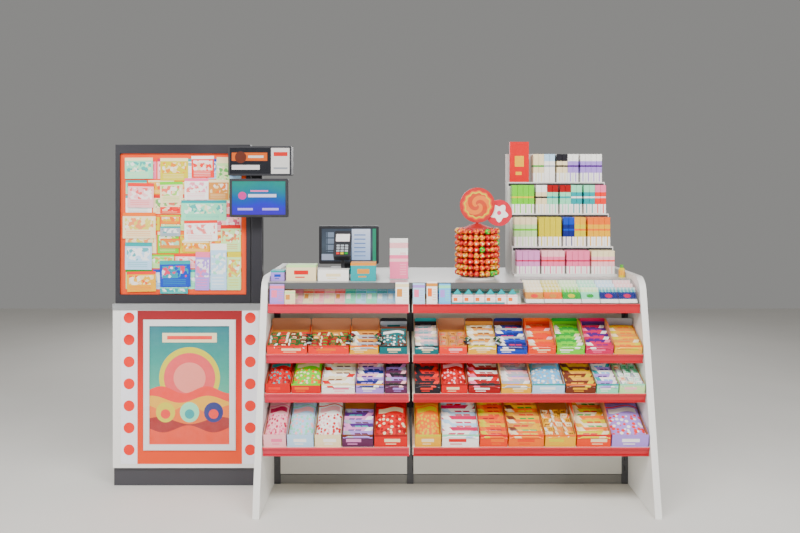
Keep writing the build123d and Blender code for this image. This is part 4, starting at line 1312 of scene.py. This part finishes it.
# %% [markdown]
# ## Card terminal
# The terminal has rubber keys, a display and a slot for the card. They are laid out flat, in the
# terminal's own frame, and turned with it in one step, which is simpler than placing sloping keys.
# Its colours are printed like a card's, because the keys are as matt as one.

# %% Keys, display and card slot
low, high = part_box("card_terminal")
worktop_z, stand_height, case_middle = 945 * mm, 118 * mm, 17 * mm
terminal = at((low.x + high.x) / 2, (low.y + high.y) / 2, worktop_z + stand_height + case_middle,
              X=50)
key = rounded_box(15 * mm, 10 * mm, 3 * mm)
key_pitch_x, key_pitch_y = 20 * mm, 15 * mm
key_rows = [("coral coral coral", "yellow yellow yellow", "green green green")]
key_rows += [("grey white white",) * 3] * 3
keys = Heap()
for row, row_inks in enumerate(key_rows):
    for column, colours in enumerate(row_inks):
        spot = at((column - 1) * key_pitch_x, row * key_pitch_y - 58 * mm, 16.5 * mm)
        keys.put(key, terminal @ spot, colours)
keys.put(rounded_box(66 * mm, 44 * mm, 1.6 * mm, 0.4 * mm), terminal @ at(0, 34 * mm, 16.6 * mm),
         "white pink magenta")
keys.put(rounded_box(54 * mm, 3 * mm, 5 * mm, 0.4 * mm), terminal @ at(0, -73 * mm, 10 * mm),
         "grey black black")
keys.piece("terminal_keys", card_print, slot="black_plastic")

# %% [markdown]
# ## Wing front and board
# The wing's front is an orange laminate, redder higher up, and the notice board is orange felt on
# hardboard. The laminate's change of colour is a ramp up its height, and the ramp's dark top is
# painted shade, where the wing's edge above shades the panel. Felt and hardboard share the same
# short fibres, so one grain serves both, and only the board's back shows the bare hardboard.

# %% Panel and felt
panel_height = 832 * mm


def orange_panel():
    material, tree, shader = start("satin_orange_laminate", Roughness=0.5, IOR=1.46)
    rise = add(tree, "Math", position(tree)["Z"], panel_height, operation="DIVIDE")
    # orange low down and redder higher up; the dark top stop is painted shade under the wing's edge
    tone = add(tree, "ValToRGB", rise, stops=((0.12, "ec4600"), (0.5, "e42408"), (0.95, "880818")))
    tone = layers(tree, tone, (both(tree, mottle(tree, 90, 3), 0.12), "a82a14"))
    coat(tree, shader, tone, mottle(tree, 1.4, 1), 0.03, 0.5)
    return material


def felt_board():
    material, tree, shader = start("orange_felt_on_hardboard", Roughness=0.75, IOR=1.45)
    grain = mottle(tree, 3, 3)
    felt = layers(tree, "ee4c00", (both(tree, grain, 0.4), "cc3000"))
    hardboard = layers(tree, "8a7462", (grain, "6f5c4c"))
    back_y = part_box("board_panel")[1].y
    rear_face = inside(tree, position(tree)["Y"], low=back_y - 1 * mm)
    coat(tree, shader, layers(tree, felt, (rear_face, hardboard)), grain, 0.25, 0.6)
    return material


dress(orange_panel(), "poster_field")
dress(felt_board(), "board_panel")

# %% [markdown]
# ## Dot strips
# A strip of matt white vinyl runs down each side of the panel with red dots stuck on it. Each dot
# is a thin disc in front of the strip, so its edge catches light as a sticker's does. The ink is a
# little paler towards a dot's lower edge.

# %% Strips and dots
def dot_design(tree, x, y, z, a, b, c):
    return layers(tree, b, (z, a))


dress(even_finish("matt_white_vinyl", "efeef4", "d4d2dc", (70, 3), 0.25, (1.2, 1), card_tooth, 0.5,
                  IOR=1.5), "dot_strips")
dot_print = printed("printed_red_dots", dot_design, (1.2, 1), card_tooth, Roughness=0.45, IOR=1.5)
dot_radius, dot_thick, dot_pitch, first_dot = 25 * mm, 0.25 * mm, 100 * mm, 32 * mm
disc = plate([(dot_radius * a, dot_radius * b) for a, b in circle(28)], dot_thick)
dots = Heap()
for points, _ in solids("dot_strips"):
    low, high = extent(points)
    for n in range(7):
        spot = at((low.x + high.x) / 2, low.y - dot_thick, high.z - first_dot - dot_pitch * n)
        dots.put(disc, spot, "red coral orange" if n < 2 else "coral coral orange")
dots.piece("strip_dots", dot_print, slot="printed_card")

# %% [markdown]
# ## Poster
# The A2 snap frame holds a poster on coated paper, which lies a little wavy. It shows a sun, five
# waves, three round patterns and a label without words. A printed poster is a flat picture, but
# drawing it from ovals and waves keeps its edges sharp from close by.

# %% The poster's picture
def poster_paper():
    material, tree, shader = start("coated_poster_paper", Roughness=0.35, IOR=1.5, Coat_Weight=0.2,
                                   Coat_Roughness=0.12)
    u, v = fractions(tree, "poster_sheet")
    tone = add(tree, "ValToRGB", v, stops=((0.3, "48b088"), (0.7, "048c80"), (1.0, "006c78")))
    sun = (0.5, 0.56)
    tone = layers(tree, tone, (oval(tree, u, v, sun, (0.38, 0.26)), "yellow"),
                  (oval(tree, u, v, sun, (0.32, 0.21)), "e8444a"),
                  (oval(tree, u, v, sun, (0.2, 0.13)), "f08474"))
    for level, pitch, colour, phase in ((0.46, 11.0, "coral", 0.0), (0.38, 9.0, "amber", 1.3),
                                        (0.30, 12.0, "orange", 2.1), (0.20, 8.0, "wine", 0.7),
                                        (0.13, 10.0, "vermilion", 3.0)):
        crest = wave(tree, u, pitch, 0.03, level, phase)
        tone = layers(tree, tone, (inside(tree, v, high=crest), colour))
    for across, rim, core in ((0.2, "yellow", "coral"), (0.5, "mint", "teal"),
                              (0.8, "navy", "coral")):
        tone = layers(tree, tone, (oval(tree, u, v, (across, 0.27), (0.12, 0.085)), rim),
                      (oval(tree, u, v, (across, 0.255), (0.06, 0.04)), core))
    tone = layers(tree, tone, (block(tree, u, v, 0.16, 0.84, 0.86, 0.94), "cream"),
                  (block(tree, u, v, 0.22, 0.78, 0.885, 0.915), "coral"),
                  (both(tree, mottle(tree, 30, 3), 0.06), "white"))
    coat(tree, shader, tone, mottle(tree, 120), 0.6, 0.3)
    return material


dress(poster_paper(), "poster_sheet")

# %% [markdown]
# ## On the worktop
# Small boxes of sweets stand in a row at the worktop's front, leaflets lean in their clear stand,
# and a little bottle stands before the rack. The bottle is soft polyethylene, which lets light a
# little way in. Its label and cap are bands of height, because it is round and seen from all sides.

# %% Boxes, leaflets and bottle
row_boxes = Heap()
box_inks = ("lilac blue teal", "cream red pistachio", "white cream white", "teal tan tan")
for (points, _), colours in zip(solids("counter_boxes"), box_inks):
    low, high = extent(points)
    row_boxes.put(rounded_box(*(high - low), 1.2 * mm),
                  at((low.x + high.x) / 2, (low.y + high.y) / 2, low.z), colours)
row_boxes.piece("printed_counter_boxes", carton_print, slot="carton_board",
                replaces="counter_boxes")

leaflets = Heap()
stand_slope, leaflet_gap, stand_wall = 8.7, 1.2 * mm, 5 * mm
low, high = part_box("leaflet_stand")
for k, height in enumerate((182, 176, 106, 102, 98)):
    lean_card(leaflets, low.x + stand_wall, low.y + 2 * mm - leaflet_gap * k, low.z + 4 * mm,
              high.x - low.x - 2 * stand_wall, height * mm, stand_slope,
              "white blush white" if height > 150 else "pink blush pink", 0.8 * mm)
leaflets.piece("leaflets", card_print, slot="printed_card")


label_z, cap_z = (955 * mm, 978 * mm), 989 * mm


def bottle_plastic():
    material, tree, shader = start("yellow_polyethylene", Roughness=0.32, IOR=1.51,
                                   Subsurface_Weight=0.1)
    z = position(tree)["Z"]
    tone = layers(tree, "yellow", (inside(tree, z, *label_z), "amber"),
                  (inside(tree, z, low=cap_z), "green"),
                  (both(tree, mottle(tree, 10), 0.15), "orange"))
    coat(tree, shader, tone, mottle(tree, 1.5, 1), 0.03, 0.3)
    return material


dress(bottle_plastic(), "sweet_bottle")

# %% [markdown]
# ## Floor and light
# A pale matt floor and an even white surround stand for a studio. Two long soft lamps hang high in
# front and two broad ones stand at the sides. None stands where glossy faces would mirror it to a
# viewer in front, because that would veil their colours. One more lights the clerk's side.

# %% Floor, lamps and surround
floor_mesh = bpy.data.meshes.new("floor")
floor_mesh.from_pydata([(-6, -5, -0.001), (6, -5, -0.001), (6, 5, -0.001), (-6, 5, -0.001)], [],
                       [(0, 1, 2, 3)])
floor, tree, shader = start("pale_matt_floor", Roughness=0.7)
plug(tree, layers(tree, "d9d6d0", (mottle(tree, 600, 3), "e3e0da")), shader.inputs["Base Color"])
floor_mesh.materials.append(floor)
floor_object = bpy.data.objects.new("floor", floor_mesh)
bpy.context.scene.collection.objects.link(floor_object)

for name, place, turn, size, watts in (
        ("tube_left", (-1.0, -2.3, 2.9), (34, 0, 0), (2.0, 0.9), 96),
        ("tube_right", (1.2, -2.3, 2.9), (34, 0, 0), (2.0, 0.9), 96),
        ("side_left", (-3.9, -2.9, 1.3), (84, 0, -52), (1.8, 2.2), 92),
        ("side_right", (4.1, -2.9, 1.3), (84, 0, 52), (1.8, 2.2), 92),
        ("rear", (0.0, 3.6, 2.2), (-62, 0, 0), (3.5, 1.5), 70)):
    light = bpy.data.lights.new(name, "AREA")
    light.shape = "RECTANGLE"
    light.size, light.size_y = size
    light.energy = watts
    made = bpy.data.objects.new(name, light)
    made.location = place
    made.rotation_euler = [math.radians(a) for a in turn]
    bpy.context.scene.collection.objects.link(made)

world = bpy.data.worlds.new("shop_light")
world.use_nodes = True
surround = world.node_tree.nodes["Background"]
surround.inputs["Color"].default_value = rgba("f2f1ee")
surround.inputs["Strength"].default_value = 0.3
bpy.context.scene.world = world
